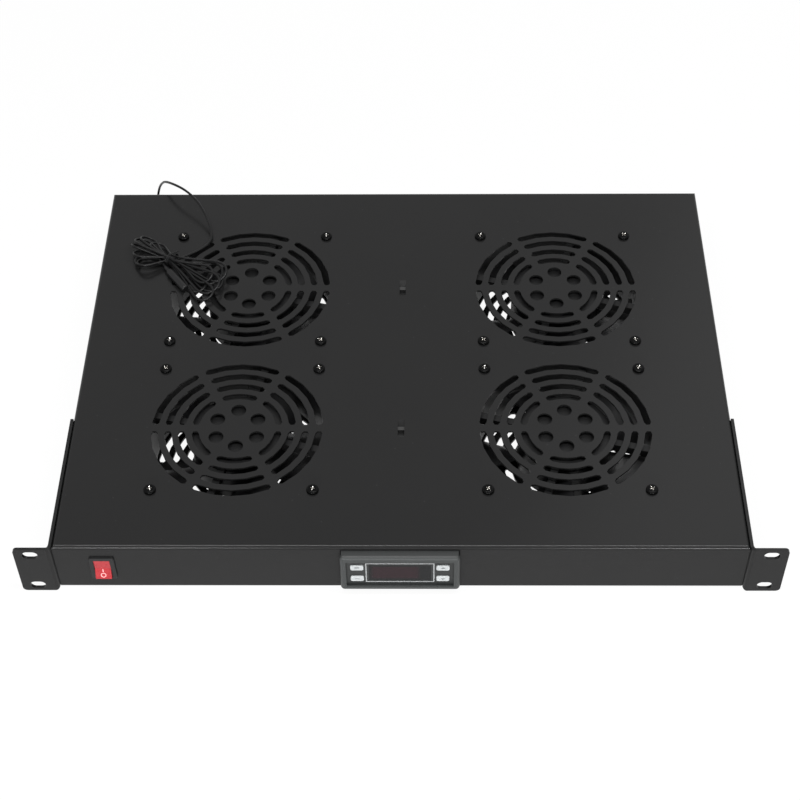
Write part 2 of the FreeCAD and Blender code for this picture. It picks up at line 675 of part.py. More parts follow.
def bearings():
    """Two bearings, one at each end of the bearing tube."""
    under = fan_strut_z() - MOTOR_BASE_THICKNESS
    bore = SHAFT_RADIUS + SHAFT_CLEARANCE
    starts = (under - BEARING_TUBE_LENGTH, under - BEARING_WIDTH - 1.0)
    return Part.makeCompound([tube(BEARING_OUTER_RADIUS, bore, V(0, 0, z), V(0, 0, z + BEARING_WIDTH))
                              for z in starts])


def stator_z():
    """Lower face of the stator core."""
    return fan_strut_z() - MOTOR_BASE_THICKNESS - WINDING_HEIGHT - 1.0 - STATOR_LENGTH


def stator():
    """Laminated core on the bearing tube, with four open slots."""
    inner = BEARING_OUTER_RADIUS + BEARING_TUBE_WALL
    outer = HUB_RADIUS - HUB_WALL - ROTOR_THICKNESS - AIR_GAP
    start = V(0, 0, stator_z())
    end = start + V(0, 0, STATOR_LENGTH)
    slots = []
    for i in range(4):
        slot = block(outer - STATOR_SLOT_DEPTH, outer + 1, -STATOR_SLOT_WIDTH / 2, STATOR_SLOT_WIDTH / 2,
                     start.z - 1, end.z + 1)
        slots.append(slot.rotated(V(0, 0, 0), V(0, 0, 1), 45.0 + 90.0 * i))
    return solid_of(tube(outer, inner, start, end).cut(slots))


def windings():
    """End turns of the coils, above and below the core."""
    inner = BEARING_OUTER_RADIUS + BEARING_TUBE_WALL + WINDING_INSET
    outer = HUB_RADIUS - HUB_WALL - ROTOR_THICKNESS - AIR_GAP - WINDING_INSET
    low = stator_z()
    rings = ((low - WINDING_HEIGHT, low), (low + STATOR_LENGTH, low + STATOR_LENGTH + WINDING_HEIGHT))
    return Part.makeCompound([tube(outer, inner, V(0, 0, a), V(0, 0, b)) for a, b in rings])


# ---------------------------------------------------------------- mains switch
def pivot():
    """Middle of the rocker's pivot."""
    return V(SWITCH_X, FRONT + PIVOT_DEPTH, SWITCH_Z)


def switch_body():
    """Snap-in switch housing with its bezel, open for the rocker."""
    bezel_x = SWITCH_BEZEL_WIDTH / 2
    bezel_z = SWITCH_BEZEL_HEIGHT / 2
    body_x = SWITCH_BODY_WIDTH / 2
    body_z = SWITCH_BODY_HEIGHT / 2
    bezel = block(-bezel_x, bezel_x, FRONT - SWITCH_BEZEL_THICKNESS, FRONT, -bezel_z, bezel_z)
    bezel = round_along_y(bezel, SWITCH_BEZEL_CORNER)
    face_edges = edges_where(bezel, lambda p: p.y < FRONT - SWITCH_BEZEL_THICKNESS + 1e-6)
    bezel = bezel.makeChamfer(SWITCH_BEZEL_BEVEL, face_edges)
    housing = block(-body_x, body_x, FRONT, FRONT + SWITCH_BODY_DEPTH, -body_z, body_z)
    open_x = ROCKER_WIDTH / 2 + ROCKER_SIDE_GAP
    open_z = ROCKER_LENGTH / 2 + ROCKER_END_GAP
    well = block(-open_x, open_x, FRONT - SWITCH_BEZEL_THICKNESS - 1,
                 FRONT + SWITCH_BODY_DEPTH - SWITCH_BACK_WALL, -open_z, open_z)
    body = bezel.fuse(housing).cut(well).translated(V(SWITCH_X, 0, SWITCH_Z))
    reach = V(SWITCH_BODY_WIDTH / 2, 0, 0)
    bore = rod(ROCKER_PIN_RADIUS + ROCKER_PIN_CLEARANCE, pivot() - reach, pivot() + reach)
    return solid_of(body.cut(bore).removeSplitter())


def rocker():
    """Rocker with a dished two-part face on two pivot pins, resting with its upper half pressed in."""
    half = ROCKER_LENGTH / 2
    x = ROCKER_WIDTH / 2
    face = [V(-x, -ROCKER_FRONT, half), V(-x, -ROCKER_FRONT + ROCKER_DIP, 0), V(-x, -ROCKER_FRONT, -half)]
    shoulder = half - ROCKER_SHOULDER_INSET
    tail = ROCKER_TAIL_HEIGHT / 2
    back = [V(-x, -ROCKER_SHOULDER, -shoulder), V(-x, ROCKER_TAIL, -tail),
            V(-x, ROCKER_TAIL, tail), V(-x, -ROCKER_SHOULDER, shoulder)]
    body = prism(face + back, V(ROCKER_WIDTH, 0, 0))
    reach = V(SWITCH_BODY_WIDTH / 2, 0, 0)
    body = union([body, rod(ROCKER_PIN_RADIUS, V(0, 0, 0) - reach, reach)])
    body = body.rotated(V(0, 0, 0), V(1, 0, 0), -ROCKER_TILT)
    return solid_of(body.translated(pivot()))


def switch_terminals():
    """Two spade terminals at the switch's rear."""
    start = FRONT + SWITCH_BODY_DEPTH
    spade = block(SWITCH_X - SPADE_WIDTH / 2, SWITCH_X + SPADE_WIDTH / 2, start, start + SPADE_LENGTH,
                  SWITCH_Z - SPADE_THICKNESS / 2, SWITCH_Z + SPADE_THICKNESS / 2)
    return Part.makeCompound([spade.translated(V(0, 0, side * SPADE_Z)) for side in (-1, 1)])


# ---------------------------------------------------------------- thermostat
def thermo_front():
    """Front plane of the thermostat's bezel."""
    return FRONT - THERMO_PROUD


def face_plane():
    """Plane of the thermostat's recessed face."""
    return thermo_front() + FACE_DEPTH


def button_places():
    """Middles of the four buttons, left to right, upper first."""
    return [(x, z) for x in (-BUTTON_X, BUTTON_X) for z in (BUTTON_Z, -BUTTON_Z)]


def rounded_pad(width, height, corner, y0, y1):
    """Rounded rectangular pad facing the front, about the middle of the tray."""
    pad = block(-width / 2, width / 2, y0, y1, -height / 2, height / 2)
    return round_along_y(pad, corner)


def thermostat_bezel():
    """Bezel with a recessed face, a window opening and four button openings."""
    front = thermo_front()
    step = FRONT - THERMO_COLLAR
    frame = rounded_pad(THERMO_WIDTH, THERMO_HEIGHT, THERMO_CORNER, front, step)
    frame = frame.makeFillet(THERMO_EDGE, edges_where(frame, lambda p: p.y < front + 1e-6))
    width = THERMO_WIDTH - 2 * THERMO_COLLAR_STEP
    collar = block(-width / 2, width / 2, step, FRONT, -THERMO_HEIGHT / 2, THERMO_HEIGHT / 2)
    floor = face_plane()
    recess = block(-FACE_WIDTH / 2, FACE_WIDTH / 2, front - 1, floor, -FACE_HEIGHT / 2, FACE_HEIGHT / 2)
    behind = block(-FACE_WIDTH / 2, FACE_WIDTH / 2, floor + FACE_THICKNESS, FRONT + 1,
                   -FACE_HEIGHT / 2, FACE_HEIGHT / 2)
    window = block(-WINDOW_WIDTH / 2, WINDOW_WIDTH / 2, floor - 1, floor + FACE_THICKNESS + 1,
                   -WINDOW_HEIGHT / 2, WINDOW_HEIGHT / 2)
    opening = rounded_pad(BUTTON_WIDTH + 2 * BUTTON_GAP, BUTTON_HEIGHT + 2 * BUTTON_GAP,
                          BUTTON_CORNER, floor - 1, floor + FACE_THICKNESS + 1)
    tools = [recess, behind, window] + [opening.translated(V(x, 0, z)) for x, z in button_places()]
    return solid_of(frame.fuse(collar).cut(tools).removeSplitter())


def thermostat_window():
    """Tinted window set in the face."""
    start = face_plane() + WINDOW_DEPTH
    return block(-WINDOW_WIDTH / 2, WINDOW_WIDTH / 2, start, start + WINDOW_THICKNESS,
                 -WINDOW_HEIGHT / 2, WINDOW_HEIGHT / 2)


def board_front():
    """Front plane of the thermostat's circuit board."""
    return FRONT + BOARD_BEHIND_PANEL


def lip_plane():
    """Front plane of the buttons' retaining lips."""
    return face_plane() + FACE_THICKNESS + BUTTON_LIP_GAP


def thermostat_button(x, z):
    """Push button with a retaining lip behind the face."""
    cap_front = face_plane() - BUTTON_PROUD
    lip_start = lip_plane()
    cap = rounded_pad(BUTTON_WIDTH, BUTTON_HEIGHT, BUTTON_CORNER, cap_front, lip_start)
    lip_x = BUTTON_WIDTH / 2 + BUTTON_LIP
    lip_z = BUTTON_HEIGHT / 2 + BUTTON_LIP
    lip = block(-lip_x, lip_x, lip_start, lip_start + BUTTON_LIP, -lip_z, lip_z)
    cap = cap.makeFillet(BUTTON_EDGE, edges_where(cap, lambda p: p.y < cap_front + 1e-6))
    return solid_of(union([cap, lip]).translated(V(x, 0, z)))


def thermostat_board():
    """Circuit board with a switch under each button."""
    x = THERMO_BODY_WIDTH / 2 - THERMO_BODY_WALL
    z = THERMO_BODY_HEIGHT / 2 - THERMO_BODY_WALL
    front = board_front()
    tact_front = lip_plane() + BUTTON_LIP + BUTTON_TRAVEL + TACT_GAP
    board = block(-x, x, front, front + BOARD_THICKNESS, -z, z)
    half = TACT_SIZE / 2
    switches = [block(bx - half, bx + half, tact_front, front, bz - half, bz + half)
                for bx, bz in button_places()]
    return solid_of(union([board] + switches))


def thermostat_display():
    """Numeric display on the board, behind the window."""
    start = face_plane() + WINDOW_DEPTH + WINDOW_THICKNESS + WINDOW_AIR
    x = DISPLAY_WIDTH / 2
    z = DISPLAY_HEIGHT / 2
    return block(-x, x, start, board_front(), -z, z)


def thermostat_relay():
    """Relay on the rear of the board."""
    start = board_front() + BOARD_THICKNESS
    x = RELAY_WIDTH / 2
    z = RELAY_HEIGHT / 2
    return block(-x, x, start, start + RELAY_DEPTH, -z, z)


def thermostat_body():
    """Housing behind the panel, open at the front where the bezel closes it."""
    x = THERMO_BODY_WIDTH / 2
    z = THERMO_BODY_HEIGHT / 2
    end = FRONT + THERMO_BODY_DEPTH
    wall = THERMO_BODY_WALL
    room = block(-x + wall, x - wall, FRONT - 1, end - wall, -z + wall, z - wall)
    return block(-x, x, FRONT, end, -z, z).cut(room)


def thermostat_terminals():
    """Screw terminal strip on the housing's rear."""
    start = FRONT + THERMO_BODY_DEPTH
    end = start + TERMINAL_DEPTH
    low = -THERMO_BODY_HEIGHT / 2
    high = low + TERMINAL_HEIGHT
    strip = block(-TERMINAL_WIDTH / 2, TERMINAL_WIDTH / 2, start, end, low, high)
    pitch = TERMINAL_WIDTH / TERMINAL_COUNT
    half = pitch * TERMINAL_WELL_WIDTH / 2
    edge = TERMINAL_WELL_EDGE
    well = block(-half, half, end - TERMINAL_WELL_DEPTH, end + 1, low + edge, high - edge)
    wells = [well.translated(V(pitch * (i + 0.5) - TERMINAL_WIDTH / 2, 0, 0)) for i in range(TERMINAL_COUNT)]
    return solid_of(strip.cut(wells))


def thermostat_clips():
    """Two side clips that pull the bezel against the panel."""
    x = THERMO_BODY_WIDTH / 2
    end = PANEL_BACK + CLIP_LENGTH
    wedge = [V(x, PANEL_BACK, 0), V(x + CLIP_WIDTH, PANEL_BACK, 0),
             V(x + CLIP_WIDTH, PANEL_BACK + CLIP_FOOT, 0), V(x + CLIP_TIP, end, 0), V(x, end, 0)]
    right = prism([p - V(0, 0, CLIP_HEIGHT / 2) for p in wedge], V(0, 0, CLIP_HEIGHT))
    return Part.makeCompound([right, mirror_x(right)])


# ---------------------------------------------------------------- mains inlet and terminal block
def inlet_body():
    """Three-pin appliance inlet: a flange, a moulded body and the socket with two cut corners."""
    flange = block(-INLET_FLANGE_WIDTH / 2, INLET_FLANGE_WIDTH / 2, REAR, REAR + INLET_FLANGE_THICKNESS,
                   -INLET_FLANGE_HEIGHT / 2, INLET_FLANGE_HEIGHT / 2)
    flange = round_along_y(flange, INLET_FLANGE_CORNER)
    body = block(-INLET_BODY_WIDTH / 2, INLET_BODY_WIDTH / 2, REAR - INLET_BODY_DEPTH, REAR,
                 -INLET_BODY_HEIGHT / 2, INLET_BODY_HEIGHT / 2)
    x = SOCKET_WIDTH / 2
    z = SOCKET_HEIGHT / 2
    cut = SOCKET_CHAMFER
    outline = [(-x, -z), (x, -z), (x, z - cut), (x - cut, z), (-x + cut, z), (-x, z - cut)]
    opening = REAR + INLET_FLANGE_THICKNESS
    socket = prism([V(a, opening - SOCKET_DEPTH, b) for a, b in outline], V(0, SOCKET_DEPTH + 1, 0))
    tools = [socket]
    for side in (-1, 1):
        place = V(side * INLET_SCREW_PITCH / 2, opening, 0)
        depth = SIDE_SCREW_HEAD_RADIUS - SIDE_SCREW_RADIUS
        tools.append(Part.makeCone(SIDE_SCREW_HEAD_RADIUS, SIDE_SCREW_RADIUS, depth, place, V(0, -1, 0)))
        tools.append(rod(SIDE_SCREW_RADIUS, place, place - V(0, INLET_FLANGE_THICKNESS + 1, 0)))
    for px, pz in pin_places():
        tools.append(inlet_pin(px, pz))
    return solid_of(flange.fuse(body).cut(tools).removeSplitter().translated(V(INLET_X, 0, 0)))


def pin_places():
    """Earth pin above, live and neutral below it to the sides."""
    return [(0, PIN_DROP / 2), (-PIN_PITCH, -PIN_DROP / 2), (PIN_PITCH, -PIN_DROP / 2)]


def inlet_pin(x, z):
    """One flat contact pin that runs through the body to a terminal inside the tray."""
    start = REAR - INLET_BODY_DEPTH - SPADE_LENGTH
    end = REAR + INLET_FLANGE_THICKNESS - SOCKET_DEPTH + PIN_LENGTH
    half_x = PIN_THICKNESS / 2
    half_z = PIN_WIDTH / 2
    return block(x - half_x, x + half_x, start, end, z - half_z, z + half_z)


def inlet_pins():
    """The three contact pins."""
    return Part.makeCompound([inlet_pin(x, z).translated(V(INLET_X, 0, 0)) for x, z in pin_places()])


def inlet_screws():
    """Two countersunk screws with their nuts, as four separate solids."""
    opening = REAR + INLET_FLANGE_THICKNESS
    depth = SIDE_SCREW_HEAD_RADIUS - SIDE_SCREW_RADIUS
    pieces = []
    for side in (-1, 1):
        place = V(INLET_X + side * INLET_SCREW_PITCH / 2, opening, 0)
        cone = Part.makeCone(SIDE_SCREW_HEAD_RADIUS, SIDE_SCREW_RADIUS, depth, place, V(0, -1, 0))
        end = place - V(0, INLET_SCREW_LENGTH, 0)
        pieces.append(solid_of(union([cone, rod(SIDE_SCREW_RADIUS, end, place)])))
        seat = V(place.x, REAR_INNER - INLET_NUT_HEIGHT, 0)
        corners = [seat + V(INLET_NUT_RADIUS * math.cos(math.radians(60 * i)), 0,
                            INLET_NUT_RADIUS * math.sin(math.radians(60 * i))) for i in range(6)]
        nut = prism(corners, V(0, INLET_NUT_HEIGHT, 0))
        pieces.append(nut.cut(rod(SIDE_SCREW_RADIUS, seat - V(0, 1, 0), seat + V(0, 10, 0))))
    return Part.makeCompound(pieces)


def terminal_block():
    """Two-row terminal block standing on the bottom plate."""
    crown = FLOOR + BLOCK_HEIGHT
    body = block(-BLOCK_WIDTH / 2, BLOCK_WIDTH / 2, BLOCK_FRONT, BLOCK_FRONT + BLOCK_DEPTH, FLOOR, crown)
    pitch = BLOCK_WIDTH / BLOCK_WAYS
    half_x = pitch * BLOCK_WELL_WIDTH / 2
    half_y = BLOCK_WELL_LENGTH / 2
    well = block(-half_x, half_x, -half_y, half_y, crown - BLOCK_WELL_DEPTH, crown + 1)
    wells = []
    for i in range(BLOCK_WAYS):
        for side in (-1, 1):
            y = BLOCK_FRONT + BLOCK_DEPTH * (0.5 + side * BLOCK_WELL_PLACE)
            wells.append(well.translated(V(pitch * (i + 0.5) - BLOCK_WIDTH / 2, y, 0)))
    return solid_of(body.cut(wells))


# ---------------------------------------------------------------- wiring
def trunk_z():
    """Middle of the wiring trunk, just under the pressed-down lances."""
    return TOP - LANCE_DROP - SHEET - TRUNK_RADIUS


def wiring_loom():
    """Trunk from the thermostat to the terminal block, its branches, and the inlet's leads."""
    z = trunk_z()
    start_y = FRONT + THERMO_BODY_DEPTH + TERMINAL_DEPTH
    low = -THERMO_BODY_HEIGHT / 2 + TERMINAL_HEIGHT / 2
    block_z = FLOOR + BLOCK_HEIGHT / 2
    first, second = FAN_ROWS_Y
    trunk = [V(0, start_y, low), V(0, start_y + 9, low), V(0, first - 11, z), V(0, BLOCK_FRONT - 22, z),
             V(0, BLOCK_FRONT - 8, block_z), V(0, BLOCK_FRONT, block_z)]
    routes = [(trunk, TRUNK_RADIUS)]
    outlet = FAN_SPREAD_X / 2 - FAN_SIZE / 2 - OUTLET_BOSS_DEPTH
    for y, join in ((first, first + 26), (second, second - 24)):
        for side in (-1, 1):
            branch = [V(side * outlet, y, 0), V(side * (outlet - 10), y, 0),
                      V(side * 12, (y + join) / 2, z - 1), V(0, join, z)]
            routes.append((branch, BRANCH_RADIUS))
    switch_y = FRONT + SWITCH_BODY_DEPTH + SPADE_LENGTH
    lane = (FAN_SPREAD_X / 2 - FAN_SIZE / 2 + THERMO_BODY_WIDTH / 2) / 2
    to_switch = [V(SWITCH_X, switch_y, SWITCH_Z), V(SWITCH_X, switch_y + 5, SWITCH_Z),
                 V(SWITCH_X + 14, switch_y + 8.5, SWITCH_Z), V(-lane - 14, switch_y + 8, -3.0),
                 V(-lane, switch_y + 18, -3.0), V(-lane, start_y + 2, -3.0), V(-14, first - 14, z - 5),
                 V(0, first - 8, z - 1)]
    routes.append((to_switch, BRANCH_RADIUS))
    loom = solid_of(union([tube_on_route(points, radius)[0] for points, radius in routes]))
    inlet_start = REAR - INLET_BODY_DEPTH - SPADE_LENGTH
    block_rear = BLOCK_FRONT + BLOCK_DEPTH
    leads = [rod(INLET_LEAD_RADIUS, V(INLET_X + x, block_rear, pin_z), V(INLET_X + x, inlet_start, pin_z))
             for x, pin_z in pin_places()]
    return Part.makeCompound([loom] + leads)


def cable_ties():
    """A tie round the trunk and the pressed-down strip at each lance."""
    x = TRUNK_RADIUS
    high = TOP - LANCE_DROP
    low = trunk_z() - TRUNK_RADIUS
    ties = []
    for y in FAN_ROWS_Y:
        middle = y + LANCE_LENGTH / 2 - LANCE_STEEP - LANCE_FLAT / 2
        y0 = middle - TIE_WIDTH / 2
        y1 = middle + TIE_WIDTH / 2
        loop = block(-x - TIE_THICKNESS, x + TIE_THICKNESS, y0, y1, low - TIE_THICKNESS, high + TIE_THICKNESS)
        loop = round_along_y(loop, TIE_THICKNESS)
        ties.append(loop.cut(block(-x, x, y0 - 1, y1 + 1, low, high)))
    return Part.makeCompound(ties)


def grommet():
    """Rubber bush where the sensor lead leaves the rear wall."""
    inner = V(GROMMET_X, REAR_INNER - GROMMET_FLANGE, GROMMET_Z)
    outer = V(GROMMET_X, REAR + GROMMET_FLANGE, GROMMET_Z)
    neck = rod(GROMMET_NECK_RADIUS, inner, outer)
    flanges = [rod(GROMMET_FLANGE_RADIUS, inner, V(GROMMET_X, REAR_INNER, GROMMET_Z)),
               rod(GROMMET_FLANGE_RADIUS, V(GROMMET_X, REAR, GROMMET_Z), outer)]
    return solid_of(union([neck] + flanges).cut(rod(LEAD_RADIUS, inner, outer)))


LEAD_START = V(GROMMET_X, REAR_INNER - GROMMET_FLANGE, GROMMET_Z)
# Chosen by hand: out of the grommet, up over the rear edge, a free arc, then along the top to the hank.
LEAD_ROUTE = [LEAD_START, V(-190, 338, 0), V(-189.5, 346, 2.5), V(-187.5, 348, 11), V(-184, 343.5, 19.5),
              V(-180, 337, 27), V(-172.5, 328.5, 32), V(-162.5, 320, 33.6), V(-152.8, 309.5, 32.5),
              V(-145.5, 297.5, 29), V(-141.5, 287.5, 24.8), V(-140.3, 278, 21.9), V(-146.5, 269.5, 21.7),
              V(-155, 262.5, 22.6), V(-162.5, 256.5, 24)]

# Sections of the hank along its length: x, y, width, height and lift above the top.
HANK_SECTIONS = [(-190.5, 275.5, 8.0, 5.0, 0.4), (-185.5, 271.5, 20.0, 9.0, 0.0),
                 (-177.0, 264.5, 22.0, 9.5, 0.0), (-167.0, 253.5, 9.0, 7.5, 1.4),
                 (-154.5, 245.8, 15.0, 8.0, 0.3), (-142.5, 236.5, 23.0, 8.0, 0.0),
                 (-134.0, 229.8, 23.0, 7.0, 0.0), (-129.0, 226.0, 12.0, 4.0, 0.0)]
HANK_AXIS = V(0.8, -0.6, 0)
TIE_SECTION = HANK_SECTIONS[3]
# The probe's tip and the line it lies along, from the tie.
PROBE_TIP = V(TIE_SECTION[0] + 12.4, TIE_SECTION[1] - 27.5, TOP + PROBE_RADIUS)
PROBE_ALONG = V(-0.595, 0.804, 0)


def hank_section(x, y, width, height, lift, grow=0.0):
    """Oval across the hank, resting on the top."""
    centre = V(x, y, TOP + height / 2 + lift)
    oval = Part.Ellipse(V(0, 0, 0), width / 2 + grow, height / 2 + grow)
    across = V(-HANK_AXIS.y, HANK_AXIS.x, 0)
    place = FreeCAD.Placement(centre, FreeCAD.Rotation(across, V(0, 0, 1), HANK_AXIS, "ZXY"))
    wire = Part.Wire(oval.toShape())
    wire.Placement = place
    return wire


def sensor_hank():
    """Outer shape of the tied hank: two fans of loops with a narrow waist."""
    return Part.makeLoft([hank_section(*s) for s in HANK_SECTIONS], True, True)


def sensor_tie():
    """Wire tie round the hank's waist."""
    x, y, width, height, lift = TIE_SECTION
    half = HANK_AXIS * (HANK_TIE_WIDTH / 2)
    ring = Part.Face(hank_section(x - half.x, y - half.y, width, height, lift, HANK_TIE_THICKNESS))
    return ring.extrude(half * 2).cut(sensor_hank())


def sensor_probe():
    """Metal-capped probe with its moulded tail, lying on the top beside the hank."""
    shoulder = PROBE_TIP + PROBE_ALONG * PROBE_LENGTH
    can = rod(PROBE_RADIUS, PROBE_TIP, shoulder)
    can = can.makeFillet(PROBE_EDGE, [e for e in can.Edges if (e.CenterOfMass - PROBE_TIP).Length < 1e-6])
    tail = rod(PROBE_TAIL_RADIUS, shoulder, shoulder + PROBE_ALONG * PROBE_TAIL_LENGTH)
    return solid_of(union([can, tail]))


def sensor_lead():
    """The sensor's lead from the grommet to the hank."""
    solid, length = tube_on_route(LEAD_ROUTE, LEAD_RADIUS)
    expected = math.pi * LEAD_RADIUS ** 2 * length
    radii = ", ".join("%.1f" % arc[0] for arc in route_arcs(LEAD_ROUTE))
    print("sensor lead %.1f mm long, radii %s" % (length, radii))
    print("sensor lead volume %.1f, section times length %.1f" % (solid.Volume, expected))
    return solid


# ---------------------------------------------------------------- build
def fan_pieces():
    """Every fan's pieces; the lead outlets face the middle of the tray."""
    shared = {"rotor": rotor(), "shaft": shaft(), "bearings": bearings(), "stator": stator(),
              "windings": windings()}
    frame = fan_frame()
    wheel = impeller()
    pieces = {}
    for number, centre in enumerate(FAN_CENTRES, start=1):
        boss = outlet_boss() if centre.x < 0 else mirror_x(outlet_boss())
        own = solid_of(union([frame, boss]))
        turned = wheel.rotated(V(0, 0, 0), V(0, 0, 1), BLADE_TURNS[number - 1])
        pieces["fan_%d_frame" % number] = own.translated(centre)
        pieces["fan_%d_impeller" % number] = turned.translated(centre)
        for name, shape in shared.items():
            pieces["fan_%d_%s" % (number, name)] = shape.translated(centre)
    return pieces


def all_pieces():
    """Every node of the tray by name."""
    pieces = {"top_shell": top_shell(), "bottom_plate": bottom_plate()}
    bracket = right_bracket()
    pieces["right_bracket"] = bracket
    pieces["left_bracket"] = mirror_x(bracket)
    pieces["side_screws"] = Part.makeCompound(side_screw_shapes())
    pieces["fan_screws"] = fan_screws()
    pieces.update(fan_pieces())
    pieces["switch_body"] = switch_body()
    pieces["switch_rocker"] = rocker()
    pieces["switch_terminals"] = switch_terminals()
    pieces["thermostat_bezel"] = thermostat_bezel()
    pieces["thermostat_window"] = thermostat_window()
    for number, (x, z) in enumerate(button_places(), start=1):
        pieces["thermostat_button_%d" % number] = thermostat_button(x, z)
    pieces["thermostat_display"] = thermostat_display()
    pieces["thermostat_board"] = thermostat_board()
    pieces["thermostat_relay"] = thermostat_relay()
    pieces["thermostat_body"] = thermostat_body()
    pieces["thermostat_terminals"] = thermostat_terminals()
    pieces["thermostat_clips"] = thermostat_clips()
    pieces["inlet_body"] = inlet_body()
    pieces["inlet_pins"] = inlet_pins()
    pieces["inlet_screws"] = inlet_screws()
    pieces["terminal_block"] = terminal_block()
    pieces["wiring_loom"] = wiring_loom()
    pieces["cable_ties"] = cable_ties()
    pieces["grommet"] = grommet()
    pieces["sensor_lead"] = sensor_lead()
    pieces["sensor_hank"] = sensor_hank()
    pieces["sensor_tie"] = sensor_tie()
    pieces["sensor_probe"] = sensor_probe()
    return pieces


os.makedirs("parts", exist_ok=True)
for name, shape in all_pieces().items():
    shape.exportStep("parts/%s.step" % name)
    print("%-24s solids %2d valid %s volume %.1f" % (name, len(shape.Solids), shape.isValid(), shape.Volume))
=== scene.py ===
import math

import bmesh
import bpy
from bpy.props import FloatProperty, FloatVectorProperty, IntProperty, PointerProperty
from mathutils import Matrix, Vector


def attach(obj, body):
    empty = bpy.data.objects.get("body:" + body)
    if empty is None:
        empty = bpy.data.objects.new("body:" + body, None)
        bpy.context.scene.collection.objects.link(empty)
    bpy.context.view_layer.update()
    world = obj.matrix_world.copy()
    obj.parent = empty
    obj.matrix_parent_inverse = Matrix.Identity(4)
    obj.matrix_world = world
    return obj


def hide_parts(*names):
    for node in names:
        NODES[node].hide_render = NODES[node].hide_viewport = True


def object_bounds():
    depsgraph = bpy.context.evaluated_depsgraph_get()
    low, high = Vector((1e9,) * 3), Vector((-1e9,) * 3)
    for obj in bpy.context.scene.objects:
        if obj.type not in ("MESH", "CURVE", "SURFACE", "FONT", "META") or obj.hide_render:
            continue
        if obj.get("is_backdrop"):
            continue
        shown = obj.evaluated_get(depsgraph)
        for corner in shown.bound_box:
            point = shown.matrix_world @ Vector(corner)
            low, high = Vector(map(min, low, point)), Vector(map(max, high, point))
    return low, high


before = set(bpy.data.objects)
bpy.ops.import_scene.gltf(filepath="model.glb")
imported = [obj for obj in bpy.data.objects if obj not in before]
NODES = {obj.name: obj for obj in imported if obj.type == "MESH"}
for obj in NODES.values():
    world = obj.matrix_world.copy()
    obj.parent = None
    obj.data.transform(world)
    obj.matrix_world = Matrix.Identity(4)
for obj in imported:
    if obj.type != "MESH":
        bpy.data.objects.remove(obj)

bl_info = {
    "name": "Rack Fan Tray",
    "version": (1, 0, 0),
    "blender": (4, 5, 0),
    "location": "3D View > Sidebar > Fan Tray",
    "description": "Finishes, fasteners, marks, sensor lead and studio for a 19 inch rack fan tray",
    "category": "Object",
}

MM = 0.001
TOP = 20.5 * MM                # upper face of the tray
FACE_Y = -3.5 * MM             # recessed face of the thermostat
FAN_CENTRES = [(-0.109, 0.099), (0.109, 0.099), (-0.109, 0.230), (0.109, 0.230)]
FAN_HOLE_PITCH = 0.105
FAN_SPREAD = 0.109             # from the middle line to the fans' middles
FAN_ROWS = (0.1645, 0.0655)    # middle between the two rows of fans, and half the rows' distance
# Middles about which each axis is folded in turn, so that all hubs or all fan screws lie on one place.
HUB_FOLDS = ((0.0, FAN_SPREAD), FAN_ROWS)
SCREW_FOLDS = ((0.0, FAN_SPREAD, FAN_HOLE_PITCH / 2), FAN_ROWS + (FAN_HOLE_PITCH / 2,))
HUB_RADIUS = 0.0292            # flat of the hub, within its chamfer
# Side screws: distance from the middle line, and place behind the ears; the first three hold an ear's leg.
SIDE_SCREWS = ((0.2211, 0.021), (0.2211, 0.058), (0.2211, 0.095), (0.2191, 0.191), (0.2191, 0.306))
SIDE_SCREW_Z = -0.009
ROCKER_PIVOT = (-0.189, 0.0036, -0.0007)
ROCKER_REST = math.radians(-9)
ROCKER_FOLD = 0.0038           # from the pivot to the fold between the rocker's halves
ROCKER_SLOPE = 1.6 / 8.1       # how fast each half comes forward from the fold
BUTTON_FRONT = 0.0007          # how far the buttons stand out of the thermostat's face
MARK_LIFT = 0.00002            # keeps a printed mark off the face under it


# ---------------------------------------------------------------- settings
class TraySizes(bpy.types.PropertyGroup):
    """Sizes of the pieces that are added to the frame."""

    screw_head: FloatProperty(name="Fan screw head", description="Radius of a fan screw's head",
                              default=0.0040, unit="LENGTH")
    screw_height: FloatProperty(name="Fan screw height", description="Height of a fan screw's head",
                                default=0.0024, unit="LENGTH")
    lead_diameter: FloatProperty(name="Lead diameter", description="Diameter of the sensor's lead",
                                 default=0.0018, unit="LENGTH")
    hank_turns: IntProperty(name="Hank turns", description="Full turns of the lead in the tied hank",
                            default=7)
    print_line: FloatProperty(name="Printed line", description="Width of the line printed round the window",
                              default=0.0007, unit="LENGTH")


class TrayFinishes(bpy.types.PropertyGroup):
    """Colours of the tray's finishes."""

    coat: FloatVectorProperty(name="Powder coat", description="Colour of the coated sheet metal",
                              default=(0.0105, 0.0105, 0.0106), subtype="COLOR")
    rocker: FloatVectorProperty(name="Rocker", description="Colour of the switch's rocker",
                                default=(0.37, 0.027, 0.033), subtype="COLOR")
    bezel: FloatVectorProperty(name="Bezel", description="Colour of the thermostat's bezel",
                               default=(0.031, 0.034, 0.034), subtype="COLOR")
    button: FloatVectorProperty(name="Buttons", description="Colour of the thermostat's buttons",
                                default=(0.45, 0.47, 0.475), subtype="COLOR")
    window: FloatVectorProperty(name="Window", description="Colour of the thermostat's tinted window",
                                default=(0.018, 0.0085, 0.011), subtype="COLOR")


